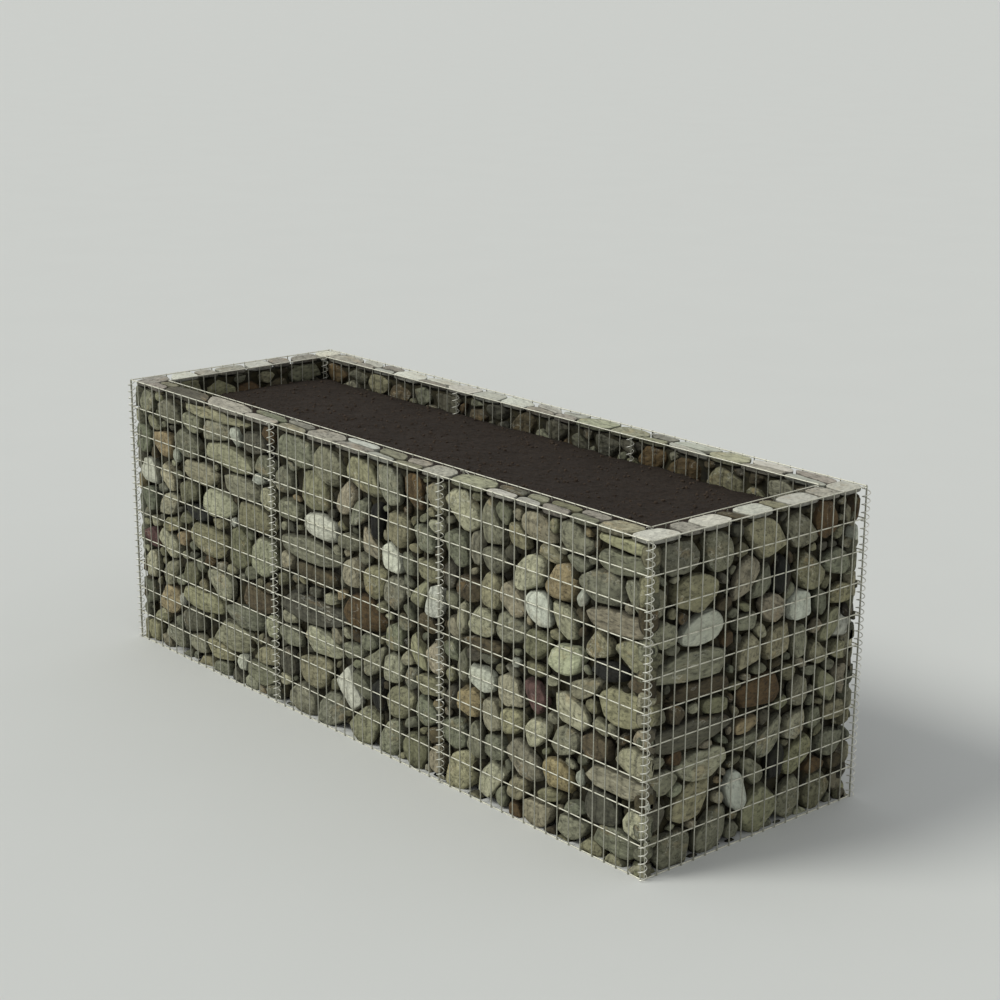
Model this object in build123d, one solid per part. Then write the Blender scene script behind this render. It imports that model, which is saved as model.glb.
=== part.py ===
from build123d import *
import math
import os

# Gabion planter: two welded mesh boxes, one inside the other, with a stone wall between them.
# Sizes are in millimetres. The origin is at the middle of the footprint, on the ground.
# +X runs along the long side, -Y is the front, +Z is up.

# Welded mesh panels
PANEL_WIDTH = 900.0
PANEL_HEIGHT = 1000.0
CELL_WIDTH = 50.0
CELL_HEIGHT = 100.0
WIRE = 4.0
PANELS_ALONG = 3

# Binder spirals that lace the panels together
SPIRAL_WIRE = 3.0
SPIRAL_DIAMETER = 28.0
TURNS_PER_CELL = 4
SPIRAL_FACETS = 8
SPIRAL_WIRE_SIDES = 3

# Stone wall and planting soil
WALL = 100.0
SOIL_BELOW_RIM = 78.0
STONES_BELOW_RIM = 6.0

# Clearance between pieces that seat on each other
FIT = 0.3

# Sizes that follow from the ones above
ROWS = max(1, round(PANEL_HEIGHT / CELL_HEIGHT))
ROW_HEIGHT = PANEL_HEIGHT / ROWS
RIM = PANEL_HEIGHT + WIRE
JOINT_STEP = WIRE + FIT
CORNER_INSET = 2 * WIRE + FIT
SPIRAL_INSET = CORNER_INSET / 2
MESH_BACK = 1.5 * WIRE
MESH_FRONT = WIRE / 2
SPIRAL_PITCH = ROW_HEIGHT / TURNS_PER_CELL
SPIRAL_RADIUS = (SPIRAL_DIAMETER - SPIRAL_WIRE) / 2


def mesh_panel(width):
    """One welded sheet: upright wires on the outside (+Y), level wires behind them."""
    columns = max(1, round(width / CELL_WIDTH))
    uprights = [
        Pos(width * (i / columns - 0.5), 0, RIM / 2) * Box(WIRE, WIRE, RIM)
        for i in range(columns + 1)
    ]
    levels = [
        Pos(0, -WIRE, WIRE / 2 + ROW_HEIGHT * i) * Box(width + WIRE, WIRE, WIRE)
        for i in range(ROWS + 1)
    ]
    return uprights[0].fuse(*uprights[1:], *levels)


def binder_spiral():
    """A right-handed coil; where it crosses angle 0, every row's level wire rests on a turn."""
    wire_angle = math.degrees(math.asin(WIRE / 2 / SPIRAL_RADIUS))
    drop = (WIRE + SPIRAL_WIRE) / 2 + FIT + SPIRAL_PITCH * wire_angle / 360
    meeting = WIRE / 2 - drop
    rise = SPIRAL_PITCH / SPIRAL_FACETS
    first = math.ceil((SPIRAL_WIRE - meeting) / rise)
    last = math.floor((RIM - SPIRAL_WIRE - meeting) / rise)
    points = []
    for i in range(first, last + 1):
        angle = 2 * math.pi * i / SPIRAL_FACETS
        x = SPIRAL_RADIUS * math.cos(angle)
        y = SPIRAL_RADIUS * math.sin(angle)
        points.append((x, y, meeting + rise * i))
    path = Polyline(*points)
    section = Plane(origin=path @ 0, z_dir=path % 0) * RegularPolygon(SPIRAL_WIRE / 2, SPIRAL_WIRE_SIDES)
    return sweep(section, path=path, transition=Transition.RIGHT)


class MeshBox:
    """A ring of mesh panels laced together; half sizes run to the upright wires' centres."""

    def __init__(self, prefix, end_width, long_widths):
        self.prefix = prefix
        self.end_width = end_width
        self.long_widths = long_widths
        run = sum(long_widths) + JOINT_STEP * (len(long_widths) - 1)
        self.half_length = run / 2 + CORNER_INSET
        self.half_width = end_width / 2 + CORNER_INSET
        self.middles, self.joints = self.long_side_places(run)

    def long_side_places(self, run):
        """Middle of each long-side panel and of each joint between two of them, along X."""
        middles, joints = [], []
        start = -run / 2
        for width in self.long_widths:
            middles.append(start + width / 2)
            joints.append(start + width + JOINT_STEP / 2)
            start += width + JOINT_STEP
        return middles, joints[:-1]

    def panels(self):
        """Every panel of the ring, by name."""
        shapes = {width: mesh_panel(width) for width in {self.end_width, *self.long_widths}}
        placed = {}
        for word, x, width in zip(place_words(len(self.middles)), self.middles, self.long_widths):
            front = Pos(x, -self.half_width) * Rot(0, 0, 180)
            back = Pos(x, self.half_width)
            placed[f"{self.prefix}front_{word}_panel"] = front * shapes[width]
            placed[f"{self.prefix}back_{word}_panel"] = back * shapes[width]
        end = shapes[self.end_width]
        placed[f"{self.prefix}left_end_panel"] = Pos(-self.half_length, 0) * Rot(0, 0, 90) * end
        placed[f"{self.prefix}right_end_panel"] = Pos(self.half_length, 0) * Rot(0, 0, -90) * end
        return placed

    def spiral_axes(self):
        """Axis (x, y) of each spiral and the angle at which it meets the level wires, by name."""
        x = self.half_length - SPIRAL_INSET
        y = self.half_width - SPIRAL_INSET
        axes = {
            "front_left_corner": (-x, -y, 90),
            "front_right_corner": (x, -y, 180),
            "back_right_corner": (x, y, 270),
            "back_left_corner": (-x, y, 0),
        }
        for word, joint in zip(place_words(len(self.joints)), self.joints):
            axes[f"front_{word}_joint"] = (joint, -y, 180)
            axes[f"back_{word}_joint"] = (joint, y, 0)
        return {f"{self.prefix}{name}_spiral": axis for name, axis in axes.items()}

    def spirals(self, coil):
        """Every binder spiral of the ring, by name: the same coil, turned and set in place."""
        return {
            name: Pos(x, y) * Rot(0, 0, angle) * coil
            for name, (x, y, angle) in self.spiral_axes().items()
        }

    def channels(self):
        """Room for the spirals in what lies against the mesh."""
        room = Cylinder(SPIRAL_DIAMETER / 2 + FIT, 3 * RIM)
        return [Pos(x, y) * room for x, y, _ in self.spiral_axes().values()]


def place_words(count):
    """Names of a row of pieces from left to right."""
    words = {1: ["middle"], 2: ["left", "right"], 3: ["left", "middle", "right"]}
    return words.get(count) or [f"bay_{i + 1}" for i in range(count)]


def block(low, high, height):
    """An upright block on the ground between two corners (x, y)."""
    size = (high[0] - low[0], high[1] - low[1])
    middle = ((high[0] + low[0]) / 2, (high[1] + low[1]) / 2)
    return Pos(*middle, height / 2) * Box(*size, height)


def stone_walls(outer, inner):
    """The stone packing of the four sides; front and back run the full length."""
    height = RIM - STONES_BELOW_RIM
    out_x = outer.half_length - MESH_BACK - FIT
    out_y = outer.half_width - MESH_BACK - FIT
    in_x = inner.half_length + MESH_FRONT + FIT
    in_y = inner.half_width + MESH_FRONT + FIT
    walls = {
        "front_stone_fill": block((-out_x, -out_y), (out_x, -in_y), height),
        "back_stone_fill": block((-out_x, in_y), (out_x, out_y), height),
        "left_stone_fill": block((-out_x, -in_y + FIT), (-in_x, in_y - FIT), height),
        "right_stone_fill": block((in_x, -in_y + FIT), (out_x, in_y - FIT), height),
    }
    channels = outer.channels() + inner.channels()
    return {name: wall.cut(*channels) for name, wall in walls.items()}


def soil(inner):
    """The planting soil inside the inner mesh."""
    x = inner.half_length - MESH_BACK - FIT
    y = inner.half_width - MESH_BACK - FIT
    bed = block((-x, -y), (x, y), RIM - SOIL_BELOW_RIM)
    return {"planting_soil": bed.cut(*inner.channels())}


def inner_long_widths():
    """Inner long-side panels: the end ones are a wall shorter, so that the joints line up."""
    widths = [PANEL_WIDTH] * PANELS_ALONG
    widths[0] -= WALL
    widths[-1] -= WALL
    return widths


outer_box = MeshBox("", PANEL_WIDTH, [PANEL_WIDTH] * PANELS_ALONG)
inner_box = MeshBox("inner_", PANEL_WIDTH - 2 * WALL, inner_long_widths())

coil = binder_spiral()

pieces = {}
for mesh_box in (outer_box, inner_box):
    pieces.update(mesh_box.panels())
    pieces.update(mesh_box.spirals(coil))
pieces.update(stone_walls(outer_box, inner_box))
pieces.update(soil(inner_box))

os.makedirs("parts", exist_ok=True)
for name, piece in pieces.items():
    piece.label = name
    export_step(piece, f"parts/{name}.step", write_pcurves=False)
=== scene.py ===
"""Gabion planter: two rings of welded wire mesh with a dry stone wall between them.

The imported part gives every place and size, in metres: +X runs along the planter, -Y is its
front and +Z is up from the ground. Geometry Nodes draw the wires, the binder coils, the small
stones inside the wall and the crumbs of soil. The stones of the wall are laid on flat strips, one
for each side: each starts as an ellipse, grows until it meets its neighbours, and is filled out.
"""

import logging
import math
from collections.abc import Callable, Iterable, Sequence
from dataclasses import dataclass
from enum import Enum
from typing import NamedTuple

import bpy
import numpy as np
from mathutils import Matrix, Vector

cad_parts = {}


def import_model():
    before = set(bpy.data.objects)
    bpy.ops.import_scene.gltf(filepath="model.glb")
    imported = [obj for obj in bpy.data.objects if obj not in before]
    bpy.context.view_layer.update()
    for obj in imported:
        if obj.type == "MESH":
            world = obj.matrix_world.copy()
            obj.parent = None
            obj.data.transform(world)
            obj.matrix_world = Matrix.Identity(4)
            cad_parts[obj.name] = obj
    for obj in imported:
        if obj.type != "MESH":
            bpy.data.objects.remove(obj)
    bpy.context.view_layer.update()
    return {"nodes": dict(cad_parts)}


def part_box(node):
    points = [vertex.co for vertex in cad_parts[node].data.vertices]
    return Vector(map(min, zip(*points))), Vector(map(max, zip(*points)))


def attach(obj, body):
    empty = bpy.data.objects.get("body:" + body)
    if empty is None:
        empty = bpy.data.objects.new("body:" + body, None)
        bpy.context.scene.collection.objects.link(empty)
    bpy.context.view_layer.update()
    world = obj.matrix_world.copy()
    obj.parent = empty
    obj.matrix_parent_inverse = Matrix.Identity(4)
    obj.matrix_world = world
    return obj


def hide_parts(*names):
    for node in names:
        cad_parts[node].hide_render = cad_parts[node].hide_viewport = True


LOG = logging.getLogger("gabion_planter")
ROOT = "root"
MM = 0.001
CM = 0.01

Triple = tuple[float, float, float]
Colour = Triple
Socket = bpy.types.NodeSocket
Material = bpy.types.Material
Mesh = bpy.types.Mesh
Array = np.ndarray
Shapes = dict[str, Array]
Random = np.random.Generator


class Side(Enum):
    """The four sides of the planter, with the turn in degrees from the front."""

    FRONT = 0
    RIGHT = 90
    BACK = 180
    LEFT = 270

    @property
    def turn(self) -> float:
        """Turn about Z from the front, in radians."""
        return math.radians(self.value)

    @property
    def long(self) -> bool:
        """Whether this is the front or the back."""
        return self in (Side.FRONT, Side.BACK)

    @property
    def inward(self) -> Vector:
        """Level direction from this side towards the middle of the planter."""
        return Vector((-math.sin(self.turn), math.cos(self.turn), 0.0))

    @classmethod
    def of(cls, node: str) -> "Side":
        """The side that a panel stands on.

        Args:
            node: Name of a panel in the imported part.

        Returns:
            The side that its name gives.
        """
        if "_end_" in node:
            return cls.LEFT if "left_end" in node else cls.RIGHT
        return cls.FRONT if "front" in node else cls.BACK


class Tone(Enum):
    """Families of stone colour, as plain linear colours."""

    CHALK = (0.5, 0.485, 0.42)
    WHITE = (0.495, 0.502, 0.42)
    PALE = (0.33, 0.32, 0.218)
    ROSE = (0.325, 0.3, 0.25)
    PINK = (0.275, 0.25, 0.172)
    BEIGE = (0.24, 0.225, 0.138)
    GREY = (0.2, 0.197, 0.136)
    GREEN = (0.175, 0.177, 0.122)
    OLIVE = (0.165, 0.158, 0.096)
    TAN = (0.285, 0.228, 0.128)
    YELLOW = (0.27, 0.262, 0.162)
    BROWN = (0.08, 0.065, 0.038)
    RUST = (0.088, 0.058, 0.027)
    MAROON = (0.1, 0.055, 0.05)
    DARK = (0.085, 0.08, 0.058)
    BLACK = (0.016, 0.016, 0.014)


(CHALK, WHITE, PALE, ROSE, PINK, BEIGE, GREY, GREEN) = list(Tone)[:8]
(OLIVE, TAN, YELLOW, BROWN, RUST, MAROON, DARK, BLACK) = list(Tone)[8:]


# Node trees


def arithmetic(operation: str, flipped: bool = False) -> Callable[["Value", "Value | float"], "Value"]:
    """Make one of Value's operators.

    Args:
        operation: Operation of its Math node.
        flipped: Whether the other number stands on the left.

    Returns:
        The method.
    """

    def method(self: "Value", other: "Value | float") -> "Value":
        """Work out one step with another number."""
        return self.math(operation, *((other, self) if flipped else (self, other)))

    return method


class Value:
    """A socket that carries a number, with the usual arithmetic."""

    __add__, __radd__ = arithmetic("ADD"), arithmetic("ADD", flipped=True)
    __sub__, __rsub__ = arithmetic("SUBTRACT"), arithmetic("SUBTRACT", flipped=True)
    __mul__, __rmul__ = arithmetic("MULTIPLY"), arithmetic("MULTIPLY", flipped=True)
    __truediv__, __pow__ = arithmetic("DIVIDE"), arithmetic("POWER")
    least, most = arithmetic("MINIMUM"), arithmetic("MAXIMUM")

    def __init__(self, tree: "Tree", socket: Socket) -> None:
        """Wrap an output socket of a tree."""
        self.tree = tree
        self.socket = socket

    def math(self, operation: str, *terms: "Value | float") -> "Value":
        """Add one Math node, on this number alone where no terms are given."""
        return self.tree.value("ShaderNodeMath", {"operation": operation}, dict(enumerate(terms or [self])))

    def between(self, low: float, high: float) -> "Value":
        """Map low..high to 0..1 with soft ends."""
        inputs = {"Value": self, "From Min": low, "From Max": high}
        return self.tree.value("ShaderNodeMapRange", {"interpolation_type": "SMOOTHSTEP"}, inputs)


class Tree:
    """A node tree that is written as expressions."""

    def __init__(self, tree: bpy.types.NodeTree) -> None:
        """Write into this tree."""
        self.tree = tree

    def node(self, kind: str, settings: dict | None = None, inputs: dict | None = None) -> bpy.types.Node:
        """Add a node.

        Args:
            kind: Blender's name of the node's type.
            settings: Properties of the node, set first.
            inputs: Values or sockets by the input's name or place.

        Returns:
            The new node.
        """
        made = self.tree.nodes.new(kind)
        for name, setting in (settings or {}).items():
            setattr(made, name, setting)
        for name, value in (inputs or {}).items():
            self.connect(value, made.inputs[name])
        return made

    def connect(self, value: object, socket: Socket) -> None:
        """Link a socket, or write a plain value, to an input.

        Args:
            value: A Value, an output socket or plain data.
            socket: The input that takes it.
        """
        if isinstance(value, Value):
            value = value.socket
        if isinstance(value, Socket):
            self.tree.links.new(value, socket)
        else:
            socket.default_value = value

    def vector_math(self, operation: str, first: object, second: object) -> Socket:
        """Work out one step with vectors or colours; the second of SCALE is a number."""
        inputs = {0: first, "Scale" if operation == "SCALE" else 1: second}
        return self.node("ShaderNodeVectorMath", {"operation": operation}, inputs).outputs[0]

    def value(
        self, kind: str, settings: dict | None = None, inputs: dict | None = None, out: int | str = 0
    ) -> Value:
        """Add a node and wrap its output of this name or place."""
        return Value(self, self.node(kind, settings, inputs).outputs[out])


class Shader(Tree):
    """A material's tree, with the textures that the finishes share."""

    def __init__(self, name: str) -> None:
        """Start a material with an empty Principled shader.

        Args:
            name: Name of the material.
        """
        self.material = bpy.data.materials.new(name)
        self.material.use_nodes = True
        super().__init__(self.material.node_tree)
        self.surface = self.tree.nodes["Principled BSDF"]

    def attribute(self, name: str, out: str = "Fac") -> Value:
        """An attribute of the piece: its Fac, Vector or Color."""
        return self.value("ShaderNodeAttribute", {"attribute_name": name}, out=out)

    def place(self) -> Socket:
        """Object coordinates, in metres."""
        return self.node("ShaderNodeTexCoord").outputs["Object"]

    def noise(self, where: object, scale: float, detail: float = 3.0, roughness: float = 0.55) -> Value:
        """Fractal noise about 0.5, with this many waves to the metre and octaves of detail."""
        inputs = {"Vector": where, "Scale": scale, "Detail": detail, "Roughness": roughness}
        return self.value("ShaderNodeTexNoise", inputs=inputs)

    def cells(self, where: object, scale: float) -> Value:
        """Distance from the middles of a pattern of cells."""
        return self.value("ShaderNodeTexVoronoi", inputs={"Vector": where, "Scale": scale}, out="Distance")

    def warped(self, where: object, scale: float, reach: float) -> Socket:
        """Shift a place by noise of this reach in metres, so that a pattern loses its even cells."""
        noise = self.node("ShaderNodeTexNoise", inputs={"Vector": where, "Scale": scale, "Detail": 2.0})
        return self.vector_math("ADD", where, self.vector_math("SCALE", noise.outputs["Color"], reach))

    def blend(self, share: Value | float, first: object, second: object) -> Socket:
        """Mix two colours.

        Args:
            share: How much of the second colour.
            first: Colour or socket.
            second: Colour or socket.

        Returns:
            Socket of the mixed colour.
        """
        mix = self.node("ShaderNodeMix", {"data_type": "RGBA"})
        for name, value in (("Factor_Float", share), ("A_Color", first), ("B_Color", second)):
            socket = next(s for s in mix.inputs if s.identifier == name)
            self.connect((*value, 1.0) if isinstance(value, tuple) else value, socket)
        return next(s for s in mix.outputs if s.identifier == "Result_Color")

    def scaled(self, colour: object, factor: Value) -> Socket:
        """A colour made lighter or darker."""
        return self.vector_math("SCALE", colour, factor)

    def bump(self, height: Value, distance: float, strength: float = 1.0) -> None:
        """Roughen the surface by a relief from 0 to 1, which is distance metres high."""
        inputs = {"Height": height, "Distance": distance, "Strength": strength}
        self.connect(self.node("ShaderNodeBump", inputs=inputs).outputs[0], self.surface.inputs["Normal"])

    def finish(self, **sockets: object) -> Material:
        """Set the shader's own sockets.

        Args:
            sockets: Values by the socket's name, with _ for each space.

        Returns:
            The material.
        """
        for name, value in sockets.items():
            value = (*value, 1.0) if isinstance(value, tuple) else value
            self.connect(value, self.surface.inputs[name.replace("_", " ")])
        return self.material


class Builder(Tree):
    """A Geometry Nodes tree with named inputs."""

    KINDS = {float: "NodeSocketFloat", int: "NodeSocketInt"}

    def __init__(self, name: str, sizes: dict[str, float | int]) -> None:
        """Start a tree.

        Args:
            name: Name of the tree.
            sizes: Its number inputs, with the values that they start from.
        """
        super().__init__(bpy.data.node_groups.new(name, "GeometryNodeTree"))
        face = self.tree.interface
        face.new_socket("Base", in_out="INPUT", socket_type="NodeSocketGeometry")
        for label, start in sizes.items():
            kind = self.KINDS[type(start)]
            face.new_socket(label, in_out="INPUT", socket_type=kind).default_value = start
        face.new_socket("Finish", in_out="INPUT", socket_type="NodeSocketMaterial")
        face.new_socket("Made", in_out="OUTPUT", socket_type="NodeSocketGeometry")
        self.inputs = self.node("NodeGroupInput").outputs

    def size(self, name: str) -> Value:
        """One of the tree's number inputs."""
        return Value(self, self.inputs[name])

    def height(self) -> Value:
        """Height of each point."""
        place = self.geometry("InputPosition")
        return self.value("ShaderNodeSeparateXYZ", inputs={0: place}, out="Z")

    def vector(self, x: object = 0.0, y: object = 0.0, z: object = 0.0) -> Socket:
        """A vector of three numbers."""
        return self.node("ShaderNodeCombineXYZ", inputs={0: x, 1: y, 2: z}).outputs[0]

    def geometry(self, kind: str, settings: dict | None = None, **inputs: object) -> Socket:
        """Add a node and give its first output; an input's name has _ for each space."""
        named = {name.replace("_", " "): value for name, value in inputs.items()}
        return self.node(f"GeometryNode{kind}", settings, named).outputs[0]

    def join(self, *parts: Socket) -> Socket:
        """Join several geometries.

        Args:
            parts: The geometries.

        Returns:
            All of them as one.
        """
        made = self.node("GeometryNodeJoinGeometry")
        for part in parts:
            self.tree.links.new(part, made.inputs[0])
        return made.outputs[0]

    def wander(self, shape: object, waves: float, reach: Value, along: Triple = (1, 1, 1)) -> Socket:
        """Shift points by a smooth noise, as handled metal and broken stone are never exact.

        Args:
            shape: Geometry to shift.
            waves: Waves of the noise to the metre.
            reach: Length of the largest shift.
            along: Share of the shift along X, Y and Z.

        Returns:
            The shifted geometry.
        """
        noise = self.node("ShaderNodeTexNoise", inputs={"Scale": waves, "Detail": 1.0})
        centred = self.vector_math("SUBTRACT", noise.outputs["Color"], (0.5, 0.5, 0.5))
        moved = self.vector_math("SCALE", self.vector_math("MULTIPLY", centred, along), reach * 4.0)
        return self.geometry("SetPosition", Geometry=shape, Offset=moved)

    def line(self, start: Socket, end: Socket, points: Value) -> Socket:
        """A straight curve with this many points."""
        curve = self.geometry("CurvePrimitiveLine", Start=start, End=end)
        return self.geometry("ResampleCurve", Curve=curve, Count=points)

    def spots(self, start: Socket, end: Socket, count: Value) -> Socket:
        """A row of points to put things on."""
        ends = {"Start Location": start, "Offset": end, "Count": count}
        return self.node("GeometryNodeMeshLine", {"mode": "END_POINTS"}, ends).outputs[0]

    def tube(self, curve: object, diameter: Value, sides: int) -> Socket:
        """Round wire along a curve, with closed ends."""
        ring = self.geometry("CurvePrimitiveCircle", Resolution=sides, Radius=diameter * 0.5)
        return self.geometry("CurveToMesh", Curve=curve, Profile_Curve=ring, Fill_Caps=True)

    def pebbles(self, base: object, shape: Triple, density: Value, seed: int, rarity: float = 1.0) -> Socket:
        """Scatter pebbles over the faces of a base, turned at random.

        Args:
            base: Geometry with the faces.
            shape: Share of a pebble's size along each of its axes.
            density: Pebbles to the square metre.
            seed: Seed of the places, turns and sizes.
            rarity: Power that makes large pebbles rarer.

        Returns:
            The realized pebbles, with sizes between the inputs Smallest and Largest.
        """
        ball = self.geometry("MeshIcoSphere", Radius=1.0, Subdivisions=2)
        pebble = self.geometry("Transform", Geometry=ball, Scale=shape)
        spots = self.geometry("DistributePointsOnFaces", Mesh=base, Density=density, Seed=seed)
        turns = {0: (0.0,) * 3, 1: (math.tau,) * 3, "Seed": seed}
        spin = self.node("FunctionNodeRandomValue", {"data_type": "FLOAT_VECTOR"}, turns).outputs[0]
        shares = {2: 0.0, 3: 1.0, "Seed": seed + 1}
        chance = self.value("FunctionNodeRandomValue", {"data_type": "FLOAT"}, shares, 1)
        size = self.size("Smallest") + chance**rarity * (self.size("Largest") - self.size("Smallest"))
        laid = self.geometry("InstanceOnPoints", Points=spots, Instance=pebble, Rotation=spin, Scale=size)
        return self.geometry("RealizeInstances", Geometry=laid)

    def end(self, shape: Socket) -> None:
        """Close the tree: realize, smooth and give the finish.

        Args:
            shape: All that the tree has made.
        """
        plain = self.geometry("RealizeInstances", Geometry=shape)
        smooth = self.geometry("SetShadeSmooth", Geometry=plain)
        dressed = self.geometry("SetMaterial", Geometry=smooth, Material=self.inputs["Finish"])
        self.node("NodeGroupOutput", inputs={0: dressed})

    def grow(
        self,
        name: str,
        sizes: dict[str, float | int],
        finish: Material,
        base: Mesh | None = None,
    ) -> Mesh:
        """Run the tree once and keep what it makes.

        Args:
            name: Name of the mesh.
            sizes: Values of the tree's inputs.
            finish: Material of the whole piece.
            base: Mesh that the tree starts from, if it needs one.

        Returns:
            A plain mesh.
        """
        host = bpy.data.objects.new(name, base or bpy.data.meshes.new(name))
        bpy.context.scene.collection.objects.link(host)
        modifier = host.modifiers.new("Nodes", "NODES")
        modifier.node_group = self.tree
        keys = {item.name: item.identifier for item in self.tree.interface.items_tree}
        for label, value in {**sizes, "Finish": finish}.items():
            modifier[keys[label]] = value
        bpy.context.view_layer.update()
        evaluated = host.evaluated_get(bpy.context.evaluated_depsgraph_get())
        mesh = bpy.data.meshes.new_from_object(evaluated)
        host.modifiers.remove(modifier)
        bpy.data.objects.remove(host)
        mesh.name = name
        return mesh


# Finishes


@dataclass(frozen=True)
class ZincFinish:
    """Hot-dip galvanised steel wire, dulled by weather."""

    name: str
    bright: Colour = (0.46, 0.455, 0.385)
    dull: Colour = (0.28, 0.276, 0.228)
    level_highlight: Colour = (0.72, 0.705, 0.6)
    metallic: float = 0.72
    roughness: float = 0.36
    crystals: float = 160.0
    runs: float = 900.0
    relief: float = 0.15 * MM

    def material(self) -> Material:
        """Build the material.

        Returns:
            The material.
        """
        shader = Shader(self.name)
        place = shader.place()
        weather = shader.noise(place, 14.0, 4.0).between(0.38, 0.68)
        spangle = shader.cells(place, self.crystals)
        fine = shader.noise(place, self.runs, 2.0)
        shade = 0.82 + 0.3 * spangle + 0.16 * fine
        # The level wires are blended towards a pale colour: a painted highlight where their tops catch the
        # light from above.
        level = shader.attribute("level")
        colour = shader.blend(weather * 0.65, self.bright, self.dull)
        colour = shader.scaled(shader.blend(level * 0.85, colour, self.level_highlight), shade)
        shader.bump(fine * 0.6 + spangle * 0.4, self.relief, 0.5)
        rough = self.roughness + 0.26 * weather + 0.12 * spangle
        return shader.finish(Base_Color=colour, Metallic=self.metallic, Roughness=rough)


@dataclass(frozen=True)
class StoneFinish:
    """Field stones: each brings its own tone, grain and edge as attributes."""

    name: str = "field_stone"
    stain: Colour = (0.24, 0.15, 0.06)
    moss: Colour = (0.09, 0.095, 0.045)
    quartz: Colour = (0.6, 0.6, 0.53)
    fleck: Colour = (0.035, 0.033, 0.026)
    stained: float = 0.34
    mossy: float = 0.22
    veined: float = 0.28
    flecked: float = 0.5
    edge_dirt_and_shade: float = 0.62
    relief: float = 11 * MM

    def material(self) -> Material:
        """Build the material.

        Returns:
            The material.
        """
        shader = Shader(self.name)
        grain = shader.attribute("grain", "Vector")
        edge = shader.attribute("edge")
        broad = shader.noise(grain, 11.0, 2.0)
        cloud = shader.noise(grain, 46.0, 5.0, 0.62)
        mottle = shader.noise(grain, 95.0, 4.0, 0.66)
        grit = shader.noise(grain, 380.0, 2.0, 0.7)
        chips = shader.cells(shader.warped(grain, 60.0, 0.012), 62.0)
        veins = shader.noise(grain, 23.0, 3.0)

        colour = shader.attribute("tone", "Color")
        rusty = broad.between(0.54, 0.72) * cloud.between(0.4, 0.6)
        colour = shader.blend(rusty * self.stained, colour, self.stain)
        mossy = (1.0 - broad).between(0.55, 0.72) * cloud.between(0.44, 0.6)
        colour = shader.blend(mossy * self.mossy, colour, self.moss)
        thread = (1.0 - (veins - 0.5).math("ABSOLUTE") * 60.0).between(0.0, 0.9)
        colour = shader.blend(thread * broad.between(0.52, 0.6) * self.veined, colour, self.quartz)
        uneven = 1.0 - 0.5 * shader.attribute("tone").between(0.3, 0.44)
        dark = (1.0 - mottle).between(0.5, 0.66)
        colour = shader.blend(dark * self.flecked * uneven, colour, self.fleck)
        shade = 1.15 + (1.75 * cloud + 1.0 * mottle + 0.2 * grit - 1.47) * uneven
        # Darker towards each stone's sides and back: partly dirt, partly painted shade where the stone turns
        # into the wall.
        dirt_and_shade_factor = 1.0 - edge.between(0.66, 1.05) * self.edge_dirt_and_shade
        colour = shader.scaled(colour, shade * dirt_and_shade_factor)

        relief = 0.5 * cloud + 0.4 * chips + 0.14 * mottle + 0.03 * grit + 0.2 * broad
        shader.bump(relief, self.relief, 0.9)
        return shader.finish(Base_Color=colour, Roughness=0.74 + 0.22 * cloud, Specular_IOR_Level=0.3)


@dataclass(frozen=True)
class RubbleFinish:
    """Small stones deep in the wall, coloured almost black as painted shade of the wall's depths."""

    name: str = "wall_rubble"
    # Both colours are far darker than any stone: painted shade.
    low: Colour = (0.008, 0.0066, 0.0015)
    high: Colour = (0.032, 0.026, 0.0065)
    relief: float = 5 * MM

    def material(self) -> Material:
        """Build the material.

        Returns:
            The material.
        """
        shader = Shader(self.name)
        place = shader.place()
        cloud = shader.noise(place, 30.0, 4.0, 0.6)
        grit = shader.noise(place, 300.0, 3.0)
        colour = shader.blend(cloud.between(0.3, 0.72), self.low, self.high)
        shader.bump(0.7 * cloud + 0.3 * grit, self.relief)
        return shader.finish(Base_Color=colour, Roughness=0.86 + 0.1 * grit)


@dataclass(frozen=True)
class SoilFinish:
    """Dark planting soil with paler crumbs."""

    name: str = "planting_soil"
    wet: Colour = (0.0138, 0.0094, 0.0068)
    dry: Colour = (0.038, 0.0262, 0.0182)
    chaff: Colour = (0.08, 0.052, 0.034)
    relief: float = 6 * MM

    def material(self) -> Material:
        """Build the material.

        Returns:
            The material.
        """
        shader = Shader(self.name)
        place = shader.place()
        patch = shader.noise(place, 5.0, 3.0)
        crumb = shader.noise(place, 110.0, 6.0, 0.68)
        grit = shader.noise(place, 620.0, 3.0)
        colour = shader.blend(crumb.between(0.32, 0.7) * (0.45 + patch), self.wet, self.dry)
        colour = shader.blend(grit.between(0.63, 0.72) * 0.5, colour, self.chaff)
        shader.bump(0.7 * crumb + 0.3 * grit, self.relief)
        return shader.finish(Base_Color=colour, Roughness=0.9 + 0.08 * crumb, Specular_IOR_Level=0.25)


@dataclass(frozen=True)
class FloorFinish:
    """Plain pale studio floor."""

    name: str = "studio_floor"
    colour: Colour = (0.7, 0.7, 0.68)

    def material(self) -> Material:
        """Build the material.

        Returns:
            The material.
        """
        shader = Shader(self.name)
        soft = shader.noise(shader.place(), 1.5, 2.0)
        return shader.finish(Base_Color=shader.scaled(self.colour, 0.985 + 0.03 * soft), Roughness=0.9)


# Wire work


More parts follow.
